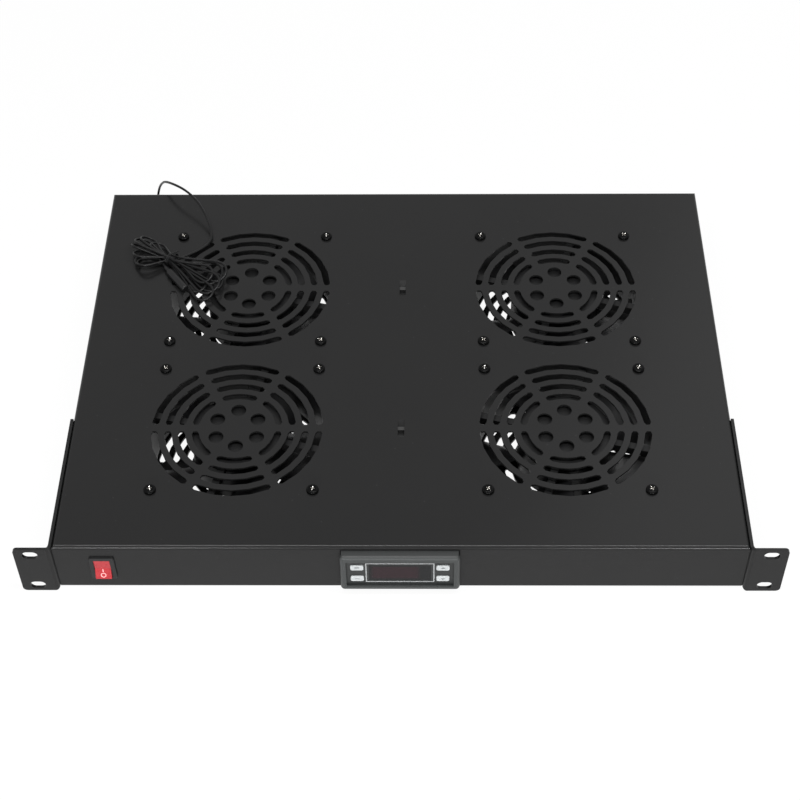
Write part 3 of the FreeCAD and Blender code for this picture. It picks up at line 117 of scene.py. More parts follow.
class TrayStudio(bpy.types.PropertyGroup):
    """Camera and lamps."""

    place: FloatVectorProperty(name="Camera place", description="Where the camera stands",
                               default=(0.01587, -0.62569, 0.87930), subtype="TRANSLATION")
    pitch: FloatProperty(name="Camera pitch", description="How far the camera looks down",
                         default=math.radians(48.888), subtype="ANGLE")
    yaw: FloatProperty(name="Camera yaw", description="How far the camera is turned to the left",
                       default=math.radians(1.285), subtype="ANGLE")
    roll: FloatProperty(name="Camera roll", description="How far the camera is tipped about its own line",
                        default=math.radians(-1.004), subtype="ANGLE")
    lens: FloatProperty(name="Lens", description="Focal length on a 36 mm sensor, in millimetres",
                        default=76.21)
    key: FloatProperty(name="Key lamp", description="Power of the large lamp over the front",
                       default=4.0, unit="POWER")
    strip: FloatProperty(name="Strip lamp", description="Power of the long lamp overhead",
                         default=16.0, unit="POWER")
    rear: FloatProperty(name="Rear lamp", description="Power of the lamp behind the right side",
                        default=3.0, unit="POWER")
    low: FloatProperty(name="Low lamps", description="Power of each lamp low in front",
                       default=8.0, unit="POWER")


# ---------------------------------------------------------------- modelling helpers
def deselect():
    """Leave object mode with nothing selected."""
    if bpy.context.object and bpy.context.object.mode != "OBJECT":
        bpy.ops.object.mode_set(mode="OBJECT")
    bpy.ops.object.select_all(action="DESELECT")


def activate(obj):
    """Leave one piece selected and active, in object mode."""
    deselect()
    obj.select_set(True)
    bpy.context.view_layer.objects.active = obj


def begin_edit(obj):
    """Open one piece in edit mode with nothing selected."""
    activate(obj)
    bpy.ops.object.mode_set(mode="EDIT")
    bpy.ops.mesh.select_all(action="DESELECT")


def select_faces(test):
    """Select the faces of the piece in edit mode that pass a test."""
    bpy.ops.mesh.select_mode(type="FACE")
    mesh = bmesh.from_edit_mesh(bpy.context.object.data)
    for face in mesh.faces:
        face.select_set(test(face))
    bmesh.update_edit_mesh(bpy.context.object.data)


def select_edges(test):
    """Select the edges of the piece in edit mode that pass a test."""
    bpy.ops.mesh.select_mode(type="EDGE")
    mesh = bmesh.from_edit_mesh(bpy.context.object.data)
    for edge in mesh.edges:
        edge.select_set(test(edge))
    bmesh.update_edit_mesh(bpy.context.object.data)


def end_edit():
    """Back to object mode."""
    bpy.ops.object.mode_set(mode="OBJECT")


def apply_modifier(obj, kind, **values):
    """Add a modifier with its values and apply it."""
    activate(obj)
    modifier = obj.modifiers.new(kind.title(), kind)
    for key, value in values.items():
        setattr(modifier, key, value)
    bpy.ops.object.modifier_apply(modifier=modifier.name)


def freeze(obj):
    """Move a piece's place, turn and scale into its mesh."""
    activate(obj)
    bpy.ops.object.transform_apply(location=True, rotation=True, scale=True)


def put(obj, matrix):
    """Move a piece's mesh to its place, so that its object stays at the origin."""
    obj.data.transform(matrix)
    obj.data.update()


def copy_of(obj, matrix):
    """A copy of a modelled piece with its own mesh, at its place."""
    twin = obj.copy()
    twin.data = obj.data.copy()
    bpy.context.collection.objects.link(twin)
    put(twin, matrix)
    return twin


def joined(pieces, name):
    """Several pieces as one, named, with its origin at the frame's."""
    deselect()
    for piece in pieces:
        piece.select_set(True)
    bpy.context.view_layer.objects.active = pieces[0]
    bpy.ops.object.join()
    whole = bpy.context.object
    whole.name = name
    whole.data.name = name
    return whole


def settle(obj, name, body, material, smooth_angle=None):
    """Name a finished piece, give it its finish and let it ride on a body."""
    obj.name = name
    obj.data.name = name
    freeze(obj)
    if smooth_angle is not None:
        bpy.ops.object.shade_smooth_by_angle(angle=math.radians(smooth_angle))
    obj.data.materials.clear()
    obj.data.materials.append(material)
    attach(obj, body)
    return obj


# ---------------------------------------------------------------- shader helpers
def feed(tree, socket, value):
    """Link another node's output to an input, or set the input to a plain value."""
    if isinstance(value, bpy.types.NodeSocket):
        tree.links.new(value, socket)
    else:
        socket.default_value = value


def math_of(tree, operation, first, second=0.0):
    """Result of a math node; each operand is an output or a plain number."""
    node = tree.nodes.new("ShaderNodeMath")
    node.operation = operation
    feed(tree, node.inputs[0], first)
    feed(tree, node.inputs[1], second)
    return node.outputs[0]


def mixed(tree, share, first, second, blend="MIX"):
    """Colour between two colours; each argument is an output or a plain value."""
    node = tree.nodes.new("ShaderNodeMix")
    node.data_type = "RGBA"
    node.blend_type = blend
    feed(tree, node.inputs["Factor"], share)
    feed(tree, node.inputs["A"], first)
    feed(tree, node.inputs["B"], second)
    return node.outputs["Result"]


def smooth_step(tree, value, start, end, low=0.0, high=1.0):
    """Goes smoothly from low to high as a value goes from start to end."""
    step = tree.nodes.new("ShaderNodeMapRange")
    step.interpolation_type = "SMOOTHSTEP"
    for label, number in (("From Min", start), ("From Max", end), ("To Min", low), ("To Max", high)):
        step.inputs[label].default_value = number
    tree.links.new(value, step.inputs["Value"])
    return step.outputs["Result"]


def own_axes(tree):
    """X, Y and Z of a place in the piece's own coordinates."""
    place = tree.nodes.new("ShaderNodeTexCoord")
    apart = tree.nodes.new("ShaderNodeSeparateXYZ")
    tree.links.new(place.outputs["Object"], apart.inputs["Vector"])
    return apart.outputs


# ---------------------------------------------------------------- shared effects
def new_group(name, inputs, outputs):
    """Empty shader group with float inputs and float outputs."""
    group = bpy.data.node_groups.new(name, "ShaderNodeTree")
    for label, default in inputs:
        socket = group.interface.new_socket(label, in_out="INPUT", socket_type="NodeSocketFloat")
        socket.default_value = default
    for label in outputs:
        group.interface.new_socket(label, in_out="OUTPUT", socket_type="NodeSocketFloat")
    return group, group.nodes.new("NodeGroupInput"), group.nodes.new("NodeGroupOutput")


def grain_group():
    """Fine moulded or sprayed grain: a height and a slowly changing tone."""
    group, start, end = new_group("Fine grain", [("Grain per metre", 900.0), ("Blotches per metre", 18.0)],
                                  ["Height", "Tone"])
    add, link = group.nodes.new, group.links.new
    place = add("ShaderNodeTexCoord")
    fine = add("ShaderNodeTexNoise")
    fine.inputs["Detail"].default_value = 3.0
    fine.inputs["Roughness"].default_value = 0.55
    broad = add("ShaderNodeTexNoise")
    broad.inputs["Detail"].default_value = 4.0
    broad.inputs["Roughness"].default_value = 0.6
    link(place.outputs["Object"], fine.inputs["Vector"])
    link(place.outputs["Object"], broad.inputs["Vector"])
    link(start.outputs["Grain per metre"], fine.inputs["Scale"])
    link(start.outputs["Blotches per metre"], broad.inputs["Scale"])
    link(fine.outputs["Fac"], end.inputs["Height"])
    link(broad.outputs["Fac"], end.inputs["Tone"])
    return group


def speck_group():
    """Sparse small specks, such as dust or a lint on a dark finish."""
    group, start, end = new_group("Specks", [("Specks per metre", 260.0), ("Size", 0.12)], ["Mask"])
    add, link = group.nodes.new, group.links.new
    place = add("ShaderNodeTexCoord")
    cells = add("ShaderNodeTexVoronoi")
    split = add("ShaderNodeSeparateColor")
    link(place.outputs["Object"], cells.inputs["Vector"])
    link(start.outputs["Specks per metre"], cells.inputs["Scale"])
    link(cells.outputs["Color"], split.inputs["Color"])
    inside = math_of(group, "LESS_THAN", cells.outputs["Distance"], start.outputs["Size"])
    sparse = math_of(group, "LESS_THAN", split.outputs["Red"], 0.06)
    link(math_of(group, "MULTIPLY", inside, sparse), end.inputs["Mask"])
    return group


GRAIN = grain_group()
SPECKS = speck_group()


def scaled(colour, factor):
    """A colour made lighter or darker, with full alpha."""
    return tuple(min(1.0, c * factor) for c in colour[:3]) + (1.0,)


def finish(name, colour, roughness, metallic=0.0, specular=0.5, grain=900.0, depth=0.15, blotches=18.0,
           spread=0.12, rough_spread=0.06, specks=0.0, coat=0.0, coat_roughness=0.2):
    """A material with fine grain in its bump, and blotches in its tone and roughness."""
    material = bpy.data.materials.new(name)
    material.use_nodes = True
    tree = material.node_tree
    add, link = tree.nodes.new, tree.links.new
    shader = tree.nodes["Principled BSDF"]
    shader.inputs["Metallic"].default_value = metallic
    shader.inputs["Specular IOR Level"].default_value = specular
    shader.inputs["Coat Weight"].default_value = coat
    shader.inputs["Coat Roughness"].default_value = coat_roughness
    effect = add("ShaderNodeGroup")
    effect.node_tree = GRAIN
    effect.inputs["Grain per metre"].default_value = grain
    effect.inputs["Blotches per metre"].default_value = blotches
    base = mixed(tree, effect.outputs["Tone"], scaled(colour, 1.0 - spread), scaled(colour, 1.0 + spread))
    if specks:
        dust = add("ShaderNodeGroup")
        dust.node_tree = SPECKS
        base = mixed(tree, dust.outputs["Mask"], base, scaled(colour, 1.0 + specks))
    link(base, shader.inputs["Base Color"])
    rough = add("ShaderNodeMapRange")
    rough.inputs["To Min"].default_value = roughness - rough_spread
    rough.inputs["To Max"].default_value = roughness + rough_spread
    link(effect.outputs["Tone"], rough.inputs["Value"])
    link(rough.outputs["Result"], shader.inputs["Roughness"])
    bump = add("ShaderNodeBump")
    bump.inputs["Strength"].default_value = depth
    bump.inputs["Distance"].default_value = 0.0003
    link(effect.outputs["Height"], bump.inputs["Height"])
    link(bump.outputs["Normal"], shader.inputs["Normal"])
    return material


def banded(material, per_metre, axis, light, dark):
    """Fine bands, such as stacked sheets or wound wire, in a material's colour and bump."""
    tree = material.node_tree
    add, link = tree.nodes.new, tree.links.new
    place = add("ShaderNodeTexCoord")
    wave = add("ShaderNodeTexWave")
    wave.bands_direction = axis
    wave.inputs["Scale"].default_value = per_metre
    wave.inputs["Distortion"].default_value = 0.4
    shader = tree.nodes["Principled BSDF"]
    bump = next(n for n in tree.nodes if n.type == "BUMP")
    link(place.outputs["Object"], wave.inputs["Vector"])
    link(mixed(tree, wave.outputs["Fac"], dark, light), shader.inputs["Base Color"])
    link(wave.outputs["Fac"], bump.inputs["Height"])
    return material


def near_centres(tree, folds, inner, outer):
    """One within a radius of each centre of a regular pattern, falling to zero further out.

    Each axis is folded about the middles of the pattern in turn, until all centres lie on one."""
    axes = own_axes(tree)
    squares = []
    for axis, middles in zip("XY", folds):
        value = axes[axis]
        for number, middle in enumerate(middles):
            value = math_of(tree, "SUBTRACT", value, middle)
            if number < len(middles) - 1:
                value = math_of(tree, "ABSOLUTE", value)
        squares.append(math_of(tree, "MULTIPLY", value, value))
    distance = math_of(tree, "SQRT", math_of(tree, "ADD", *squares))
    return smooth_step(tree, distance, outer, inner)


def below(tree, height, share):
    """A share, kept only under a height."""
    return math_of(tree, "MULTIPLY", math_of(tree, "LESS_THAN", own_axes(tree)["Z"], height), share)


def base_colour(material):
    """The output that feeds a material's colour, and the input that it feeds."""
    socket = material.node_tree.nodes["Principled BSDF"].inputs["Base Color"]
    return socket.links[0].from_socket, socket


def blend_colour(material, share, colour):
    """Blend a material's colour towards another by a share."""
    tree = material.node_tree
    base, socket = base_colour(material)
    tree.links.new(mixed(tree, share, base, colour), socket)


def dress(material, *names):
    """Give CAD nodes their finish."""
    for name in names:
        for slot in NODES[name].material_slots:
            slot.material = material


def fan_nodes(kind):
    """The names of one piece of every fan."""
    return ["fan_%d_%s" % (number, kind) for number in range(1, len(FAN_CENTRES) + 1)]


# ---------------------------------------------------------------- screws
def recess_cutter(reach, depth, top):
    """Tapered cross that cuts a driver recess into a screw head, upright about the Z axis."""
    arms = []
    for turn in (0.0, math.pi / 2):
        bpy.ops.mesh.primitive_cube_add(size=1.0, location=(0, 0, top))
        arm = bpy.context.object
        begin_edit(arm)
        bpy.ops.mesh.select_all(action="SELECT")
        bpy.ops.transform.resize(value=(2 * reach, reach * 0.36, 2 * depth))
        select_faces(lambda f: f.normal.z < -0.9)
        bpy.ops.transform.resize(value=(0.35, 0.5, 1.0))
        end_edit()
        arm.rotation_euler.z = turn
        freeze(arm)
        arms.append(arm)
    apply_modifier(arms[0], "BOOLEAN", object=arms[1], operation="UNION", solver="EXACT")
    bpy.data.objects.remove(arms[1])
    return arms[0]


def cut_recess(screw, reach, depth, top):
    """Cut the driver recess into a screw standing on the Z axis."""
    cutter = recess_cutter(reach, depth, top)
    apply_modifier(screw, "BOOLEAN", object=cutter, operation="DIFFERENCE", solver="EXACT")
    bpy.data.objects.remove(cutter)


def pan_head_screw(radius, height, shank, length):
    """Pan-head screw with a rounded head, a cross recess and a plain shank, standing on z = 0."""
    deselect()
    bpy.ops.mesh.primitive_cylinder_add(vertices=36, radius=radius, depth=height,
                                        location=(0, 0, height / 2))
    screw = bpy.context.object
    begin_edit(screw)
    select_faces(lambda f: f.normal.z > 0.9)
    bpy.ops.mesh.region_to_loop()
    bpy.ops.mesh.bevel(offset=height * 0.62, segments=5, profile=0.5, affect="EDGES")
    select_faces(lambda f: f.normal.z < -0.9)
    bpy.ops.mesh.inset(thickness=radius - shank)
    bpy.ops.mesh.extrude_region_move(TRANSFORM_OT_translate={"value": (0, 0, -length)})
    end_edit()
    freeze(screw)
    cut_recess(screw, radius * 0.62, height * 0.62, height)
    return screw


def countersunk_screw(radius, shank, length):
    """Countersunk screw with a cross recess, its flat top on z = 0."""
    cone = radius - shank
    deselect()
    bpy.ops.mesh.primitive_cylinder_add(vertices=32, radius=radius, depth=cone, location=(0, 0, -cone / 2))
    screw = bpy.context.object
    begin_edit(screw)
    select_faces(lambda f: f.normal.z < -0.9)
    bpy.ops.transform.resize(value=(shank / radius, shank / radius, 1.0))
    bpy.ops.mesh.extrude_region_move(TRANSFORM_OT_translate={"value": (0, 0, cone - length)})
    end_edit()
    freeze(screw)
    cut_recess(screw, radius * 0.62, cone * 0.8, 0.0)
    return screw


# ---------------------------------------------------------------- sensor lead
# The lead's way from the bush in the rear wall, over the rear edge and down to the hank.
LEAD_ROUTE = [(-190, 328, 0), (-190, 338, 0), (-189.5, 346, 2.5), (-187.5, 348, 11), (-184, 343.5, 19.5),
              (-180, 337, 27), (-172.5, 328.5, 32), (-162.5, 320, 33.6), (-152.8, 309.5, 32.5),
              (-145.5, 297.5, 29), (-141.5, 287.5, 24.8), (-140.3, 278, 21.9), (-146.5, 269.5, 21.7),
              (-155, 262.5, 22.6), (-162.5, 256.5, 24)]
WAIST = Vector((-167.0, 253.5, 0.0))           # where the tie holds the hank
ALONG = Vector((0.8, -0.6, 0.0))               # from the left fan of loops to the right one
ACROSS = Vector((0.6, 0.8, 0.0))
PROBE_TAIL = Vector((-171.0, 248.4, 23.4))     # rear end of the probe's moulded tail
# Each turn's loops: reach, width, swing and lean of the loop's plane in degrees, height of its middle.
LEFT_LOOPS = [(31, 13, 4, 55, 4.2), (27, 15, -32, 12, 2.2), (34, 12, -9, 40, 5.0), (25, 13, -40, 20, 3.4),
              (32, 13, 8, 35, 6.0), (29, 14, -22, 25, 5.2), (33, 12, -2, 30, 7.2), (24, 12, 14, 25, 3.6)]
RIGHT_LOOPS = [(37, 15, -12, 8, 1.6), (45, 17, 2, 10, 2.6), (48, 14, -14, 14, 3.2), (41, 19, 12, 12, 3.8),
               (46, 18, -4, 16, 5.0), (36, 14, 4, 22, 5.6), (44, 16, 14, 20, 6.2)]


def waist_place(number):
    """Place of one strand in the tied waist, in millimetres."""
    column = number % 4
    row = number // 4
    aside = (column - 1.5) * 2.0 + (0.5 if row % 2 else -0.4)
    return WAIST + ACROSS * aside + Vector((0, 0, 22.9 + row * 1.65))


def loop_points(side, reach, width, swing, lean, height, start, end):
    """One loop of a turn on one side of the waist, from one strand's place in it to another's."""
    turn = math.radians(swing) * side
    forward = (ALONG * math.cos(turn) + ACROSS * math.sin(turn)) * side
    aside = Vector((-forward.y, forward.x, 0)) * math.cos(math.radians(lean))
    aside += Vector((0, 0, math.sin(math.radians(lean))))
    radius = width / 2
    middle = WAIST + forward * (reach - radius) + Vector((0, 0, 20.5 + height + 0.9))
    points = [start.lerp(middle + aside * radius * -0.95, 0.55)]
    for degrees in (-100, -50, 0, 50, 100):
        angle = math.radians(degrees)
        points.append(middle + (forward * math.cos(angle) + aside * math.sin(angle)) * radius * 1.06)
    points.append(end.lerp(middle + aside * radius * 0.95, 0.55))
    lowest = 20.5 + 1.0
    return [Vector((p.x, p.y, max(p.z, lowest))) for p in points]


def hank_points(turns):
    """The hank's turns, each through the waist twice, and the way out to the probe."""
    points = [waist_place(0)]
    for turn in range(turns + 1):
        here = waist_place(2 * turn)
        across = waist_place(2 * turn + 1)
        points += loop_points(-1, *LEFT_LOOPS[turn], here, across if turn < turns else PROBE_TAIL)
        if turn == turns:
            break
        points.append(across)
        onward = waist_place(2 * turn + 2)
        points += loop_points(1, *RIGHT_LOOPS[turn], across, onward)
        points.append(onward)
    to_tip = Vector((0.595, -0.8035, 0.0))
    points.append(PROBE_TAIL - to_tip * 3)
    points.append(PROBE_TAIL + to_tip * 1)
    return points


def nurbs_line(name, points, diameter):
    """A smooth round line with these points, given in millimetres, as its control points."""
    curve = bpy.data.curves.new(name, "CURVE")
    curve.dimensions = "3D"
    curve.bevel_depth = diameter / 2
    curve.bevel_resolution = 3
    curve.resolution_u = 6
    curve.use_fill_caps = True
    spline = curve.splines.new("NURBS")
    spline.points.add(len(points) - 1)
    for knot, point in zip(spline.points, points):
        knot.co = (point[0] * MM, point[1] * MM, point[2] * MM, 1.0)
    spline.order_u = 3
    spline.use_endpoint_u = True
    line = bpy.data.objects.new(name, curve)
    bpy.context.collection.objects.link(line)
    return line


def length_of(line):
    """Length of a curve's middle line, in metres."""
    bare = line.data.copy()
    bare.bevel_depth = 0.0
    probe = bpy.data.objects.new("measure", bare)
    bpy.context.collection.objects.link(probe)
    mesh = bpy.data.meshes.new_from_object(probe)
    ends = [[mesh.vertices[number].co for number in edge.vertices] for edge in mesh.edges]
    total = sum((first - second).length for first, second in ends)
    bpy.data.objects.remove(probe)
    bpy.data.meshes.remove(mesh)
    bpy.data.curves.remove(bare)
    return total


# ---------------------------------------------------------------- operators
class TRAY_OT_sheet_metal(bpy.types.Operator):
    """Give the folded sheet metal its black powder coat."""

    bl_idname = "tray.sheet_metal"
    bl_label = "Sheet metal"

    def execute(self, context):
        colours = context.scene.tray_finishes
        coat = finish("Powder coat", colours.coat, 0.22, specular=0.165, grain=1500.0, depth=0.05,
                      blotches=9.0, spread=0.10, rough_spread=0.04, specks=1.2)
        dress(coat, "top_shell", "bottom_plate", "left_bracket", "right_bracket")
        return {"FINISHED"}


class TRAY_OT_fans(bpy.types.Operator):
    """Give the four fans their finishes."""

    bl_idname = "tray.fans"
    bl_label = "Fans"

    def execute(self, context):
        cast = finish("Painted casting", (0.006, 0.006, 0.0062), 0.46, specular=0.2, grain=700.0,
                      depth=0.35, blotches=40.0, spread=0.2)
        blades = finish("Moulded blades", (0.006, 0.006, 0.0064), 0.38, specular=0.22, grain=400.0,
                        depth=0.08, blotches=25.0)
        # Painted light: the hub's flat under the plate gets a much lighter colour than the blades of the
        # same moulding, so that it reads as lit.
        hub = near_centres(blades.node_tree, HUB_FOLDS, HUB_RADIUS - 0.0004, HUB_RADIUS)
        blend_colour(blades, hub, (0.045, 0.045, 0.046, 1.0))
        steel = finish("Turned steel", (0.42, 0.42, 0.43), 0.28, metallic=1.0, grain=1600.0, depth=0.06)
        core = banded(finish("Stacked core", (0.20, 0.20, 0.21), 0.40, metallic=0.8), 320.0, "Z",
                      (0.24, 0.24, 0.25, 1.0), (0.10, 0.10, 0.10, 1.0))
        wire = banded(finish("Enamelled wire", (0.45, 0.16, 0.07), 0.32, metallic=0.7), 500.0, "DIAGONAL",
                      (0.52, 0.20, 0.09, 1.0), (0.22, 0.07, 0.03, 1.0))
        dress(cast, *fan_nodes("frame"))
        dress(blades, *fan_nodes("impeller"))
        dress(steel, *fan_nodes("shaft"), *fan_nodes("bearings"), *fan_nodes("rotor"))
        dress(core, *fan_nodes("stator"))
        dress(wire, *fan_nodes("windings"))
        return {"FINISHED"}


class TRAY_OT_screws(bpy.types.Operator):
    """Model the fan screws and the countersunk side screws with their driver recesses."""

    bl_idname = "tray.screws"
    bl_label = "Screws"

    def execute(self, context):
        sizes = context.scene.tray_sizes
        black = finish("Black zinc", (0.0018, 0.0018, 0.0019), 0.22, specular=0.06, grain=2500.0,
                       depth=0.10)
        tree = black.node_tree
        # The recesses are painted bright bare metal from just under the tops of the heads: partly metal
        # rubbed bare by the driver, partly a painted glint.
        glint_on_bare_metal = below(tree, TOP + sizes.screw_height * 0.985,
                     near_centres(tree, SCREW_FOLDS, 0.0021, 0.0026))
        blend_colour(black, glint_on_bare_metal, (0.80, 0.79, 0.77, 1.0))
        tree.links.new(glint_on_bare_metal, tree.nodes["Principled BSDF"].inputs["Metallic"])
        pan = pan_head_screw(sizes.screw_head, sizes.screw_height, 0.00215, 0.0088)
        half = FAN_HOLE_PITCH / 2
        copies = []
        for number, (x, y) in enumerate(FAN_CENTRES):
            for corner, (sx, sy) in enumerate(((-1, -1), (1, -1), (-1, 1), (1, 1))):
                turn = Matrix.Rotation(math.radians(17 + 37 * number + 61 * corner), 4, "Z")
                copies.append(copy_of(pan, Matrix.Translation((x + sx * half, y + sy * half, TOP)) @ turn))
        bpy.data.objects.remove(pan)
        fans = settle(joined(copies, "fan_screw_set"), "fan_screw_set", "tray", black, 35)
        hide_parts("fan_screws")

        sunk = countersunk_screw(0.0029, 0.0015, 0.0065)
        copies = []
        for side in (-1, 1):
            facing = Matrix.Rotation(side * math.pi / 2, 4, "Y")
            for number, (out, y) in enumerate(SIDE_SCREWS):
                turn = Matrix.Rotation(math.radians(25 + 49 * number), 4, "Z")
                place = Matrix.Translation((side * out, y, SIDE_SCREW_Z))
                copies.append(copy_of(sunk, place @ facing @ turn))
        bpy.data.objects.remove(sunk)
        sides = settle(joined(copies, "side_screw_set"), "side_screw_set", "tray", black, 35)
        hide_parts("side_screws")
        zinc = finish("Bright zinc", (0.55, 0.55, 0.57), 0.25, metallic=1.0, grain=2500.0, depth=0.08)
        dress(zinc, "inlet_screws")
        return {"FINISHED"}


class TRAY_OT_lead(bpy.types.Operator):
    """Lay the sensor's lead from its bush to the tied hank and the probe."""

    bl_idname = "tray.lead"
    bl_label = "Sensor lead"

    def execute(self, context):
        sizes = context.scene.tray_sizes
        sheath = finish("Lead sheath", (0.0035, 0.0035, 0.0037), 0.32, specular=0.20, grain=1800.0,
                        depth=0.06, blotches=60.0)
        points = [Vector(p) for p in LEAD_ROUTE] + hank_points(sizes.hank_turns)
        line = nurbs_line("sensor_cable", points, sizes.lead_diameter)
        line.data.materials.append(sheath)
        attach(line, "tray")
        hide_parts("sensor_lead", "sensor_hank")
        length = length_of(line)
        print("sensor cable %.3f m" % length)
        probe = finish("Probe moulding", (0.005, 0.005, 0.0053), 0.30, specular=0.26, grain=900.0,
                       depth=0.08)
        dress(probe, "sensor_probe")
        rubber = finish("Rubber bush", (0.014, 0.014, 0.014), 0.62, specular=0.4, grain=1200.0, depth=0.12)
        dress(rubber, "grommet")
        tie = nurbs_line("wire_tie", tie_points(), 0.0008)
        tie.data.materials.append(sheath)
        activate(tie)
        bpy.ops.object.convert(target="MESH")
        settle(bpy.context.object, "wire_tie", "tray", sheath)
        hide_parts("sensor_tie")
        return {"FINISHED"}


def tie_points():
    """A wire wound twice round the hank's waist, with its ends twisted together, in millimetres."""
    points = []
    turns = 2
    steps = 14
    for step in range(turns * steps + 1):
        angle = 2 * math.pi * step / steps + math.pi / 2
        slide = -1.3 + 2.6 * step / (turns * steps)
        ring = ACROSS * (5.7 * math.cos(angle)) + Vector((0, 0, 4.9 * math.sin(angle)))
        points.append(WAIST + ring + ALONG * slide + Vector((0, 0, 26.3)))
    for step in range(10):
        angle = 2.2 * step
        twist = ALONG * math.cos(angle) + Vector((0, 0, math.sin(angle)))
        outward = ACROSS * (1.0 + 0.75 * step)
        points.append(WAIST + outward + twist * 0.55 + Vector((0, 0, 31.6 - 0.35 * step)))
    return points


def thin_mark(obj, thickness):
    """Give a flat mark its thickness."""
    apply_modifier(obj, "SOLIDIFY", thickness=thickness, offset=0.0)
    return obj


def upright(obj):
    """Turn a mark drawn flat on the floor so that it faces the front."""
    put(obj, obj.matrix_world.copy())
    obj.matrix_world = Matrix.Identity(4)
    put(obj, Matrix.Rotation(math.pi / 2, 4, "X"))
    return obj


class TRAY_OT_switch(bpy.types.Operator):
    """Finish the mains switch and print the on and off marks on its rocker."""

    bl_idname = "tray.switch"
    bl_label = "Mains switch"

    def execute(self, context):
        colours = context.scene.tray_finishes
        body = finish("Switch housing", (0.014, 0.014, 0.0145), 0.40, specular=0.22, grain=1400.0,
                      depth=0.08)
        red = finish("Rocker", colours.rocker, 0.28, specular=0.22, grain=1900.0, depth=0.10,
                     blotches=330.0, spread=0.10, coat=0.08, coat_roughness=0.12)
        brass = finish("Tinned brass", (0.62, 0.55, 0.36), 0.30, metallic=1.0, grain=1500.0, depth=0.08)
        dress(body, "switch_body")
        dress(red, "switch_rocker")
        dress(brass, "switch_terminals", "inlet_pins")
        ink = finish("Moulded mark", (0.92, 0.42, 0.42), 0.35, specular=0.5, grain=2000.0, depth=0.05)

        deselect()
        bpy.ops.mesh.primitive_torus_add(major_segments=40, minor_segments=10, major_radius=0.0015,
                                         minor_radius=0.00027)
        ring = bpy.context.object
        begin_edit(ring)
        bpy.ops.mesh.select_all(action="SELECT")
        bpy.ops.transform.resize(value=(1.0, 1.0, 0.35))
        end_edit()
        upright(ring)
        bpy.ops.mesh.primitive_cube_add(size=1.0)
        stroke = bpy.context.object
        begin_edit(stroke)
        bpy.ops.mesh.select_all(action="SELECT")
        bpy.ops.transform.resize(value=(0.00055, 0.00024, 0.0025))
        select_edges(lambda e: abs((e.verts[0].co - e.verts[1].co).normalized().y) > 0.9)
        bpy.ops.mesh.bevel(offset=0.00025, segments=3, affect="EDGES")
        end_edit()
        pivot = Matrix.Translation(ROCKER_PIVOT) @ Matrix.Rotation(ROCKER_REST, 4, "X")
        lean = Matrix.Rotation(-math.atan(ROCKER_SLOPE), 4, "X")
        # Both marks stand on the lower half, each so far down from the fold.
        for mark, down in ((stroke, 0.0017), (ring, 0.0053)):
            on_face = Matrix.Translation((0, -ROCKER_FOLD - down * ROCKER_SLOPE, -down))
            put(mark, pivot @ on_face @ lean)
        settle(joined([stroke, ring], "switch_marks"), "switch_marks", "rocker", ink, 40)
        return {"FINISHED"}


def window_material(colour):
    """Tinted window with the unlit display showing faintly behind it."""
    material = finish("Tinted window", colour, 0.14, specular=0.16, grain=600.0, depth=0.02,
                      rough_spread=0.03)
    tree = material.node_tree
    axes = own_axes(tree)
    across = math_of(tree, "ABSOLUTE", math_of(tree, "ADD", axes["X"], 0.003))
    upward = math_of(tree, "ABSOLUTE", axes["Z"])
    display = math_of(tree, "MULTIPLY", smooth_step(tree, across, 0.0165, 0.0130),
                      smooth_step(tree, upward, 0.0072, 0.0052))
    tree.links.new(mixed(tree, display, (0.008, 0.0084, 0.009, 1.0), scaled(colour, 1.0)),
                   tree.nodes["Principled BSDF"].inputs["Base Color"])
    return material


def bezel_material(colour):
    """Bezel moulding whose recessed face behind the rim is painted darker than the rim, as painted shade.
    """
    material = finish("Bezel moulding, face in painted shade", colour, 0.46, specular=0.36, grain=1300.0,
                      depth=0.16, blotches=30.0, spread=0.08)
    tree = material.node_tree
    base, socket = base_colour(material)
    # Painted shade: the recessed face is darkened to about half the rim's colour.
    shade = smooth_step(tree, own_axes(tree)["Y"], FACE_Y - 0.0010, FACE_Y - 0.0001, 1.0, 0.52)
    tree.links.new(mixed(tree, 1.0, base, shade, "MULTIPLY"), socket)
    return material


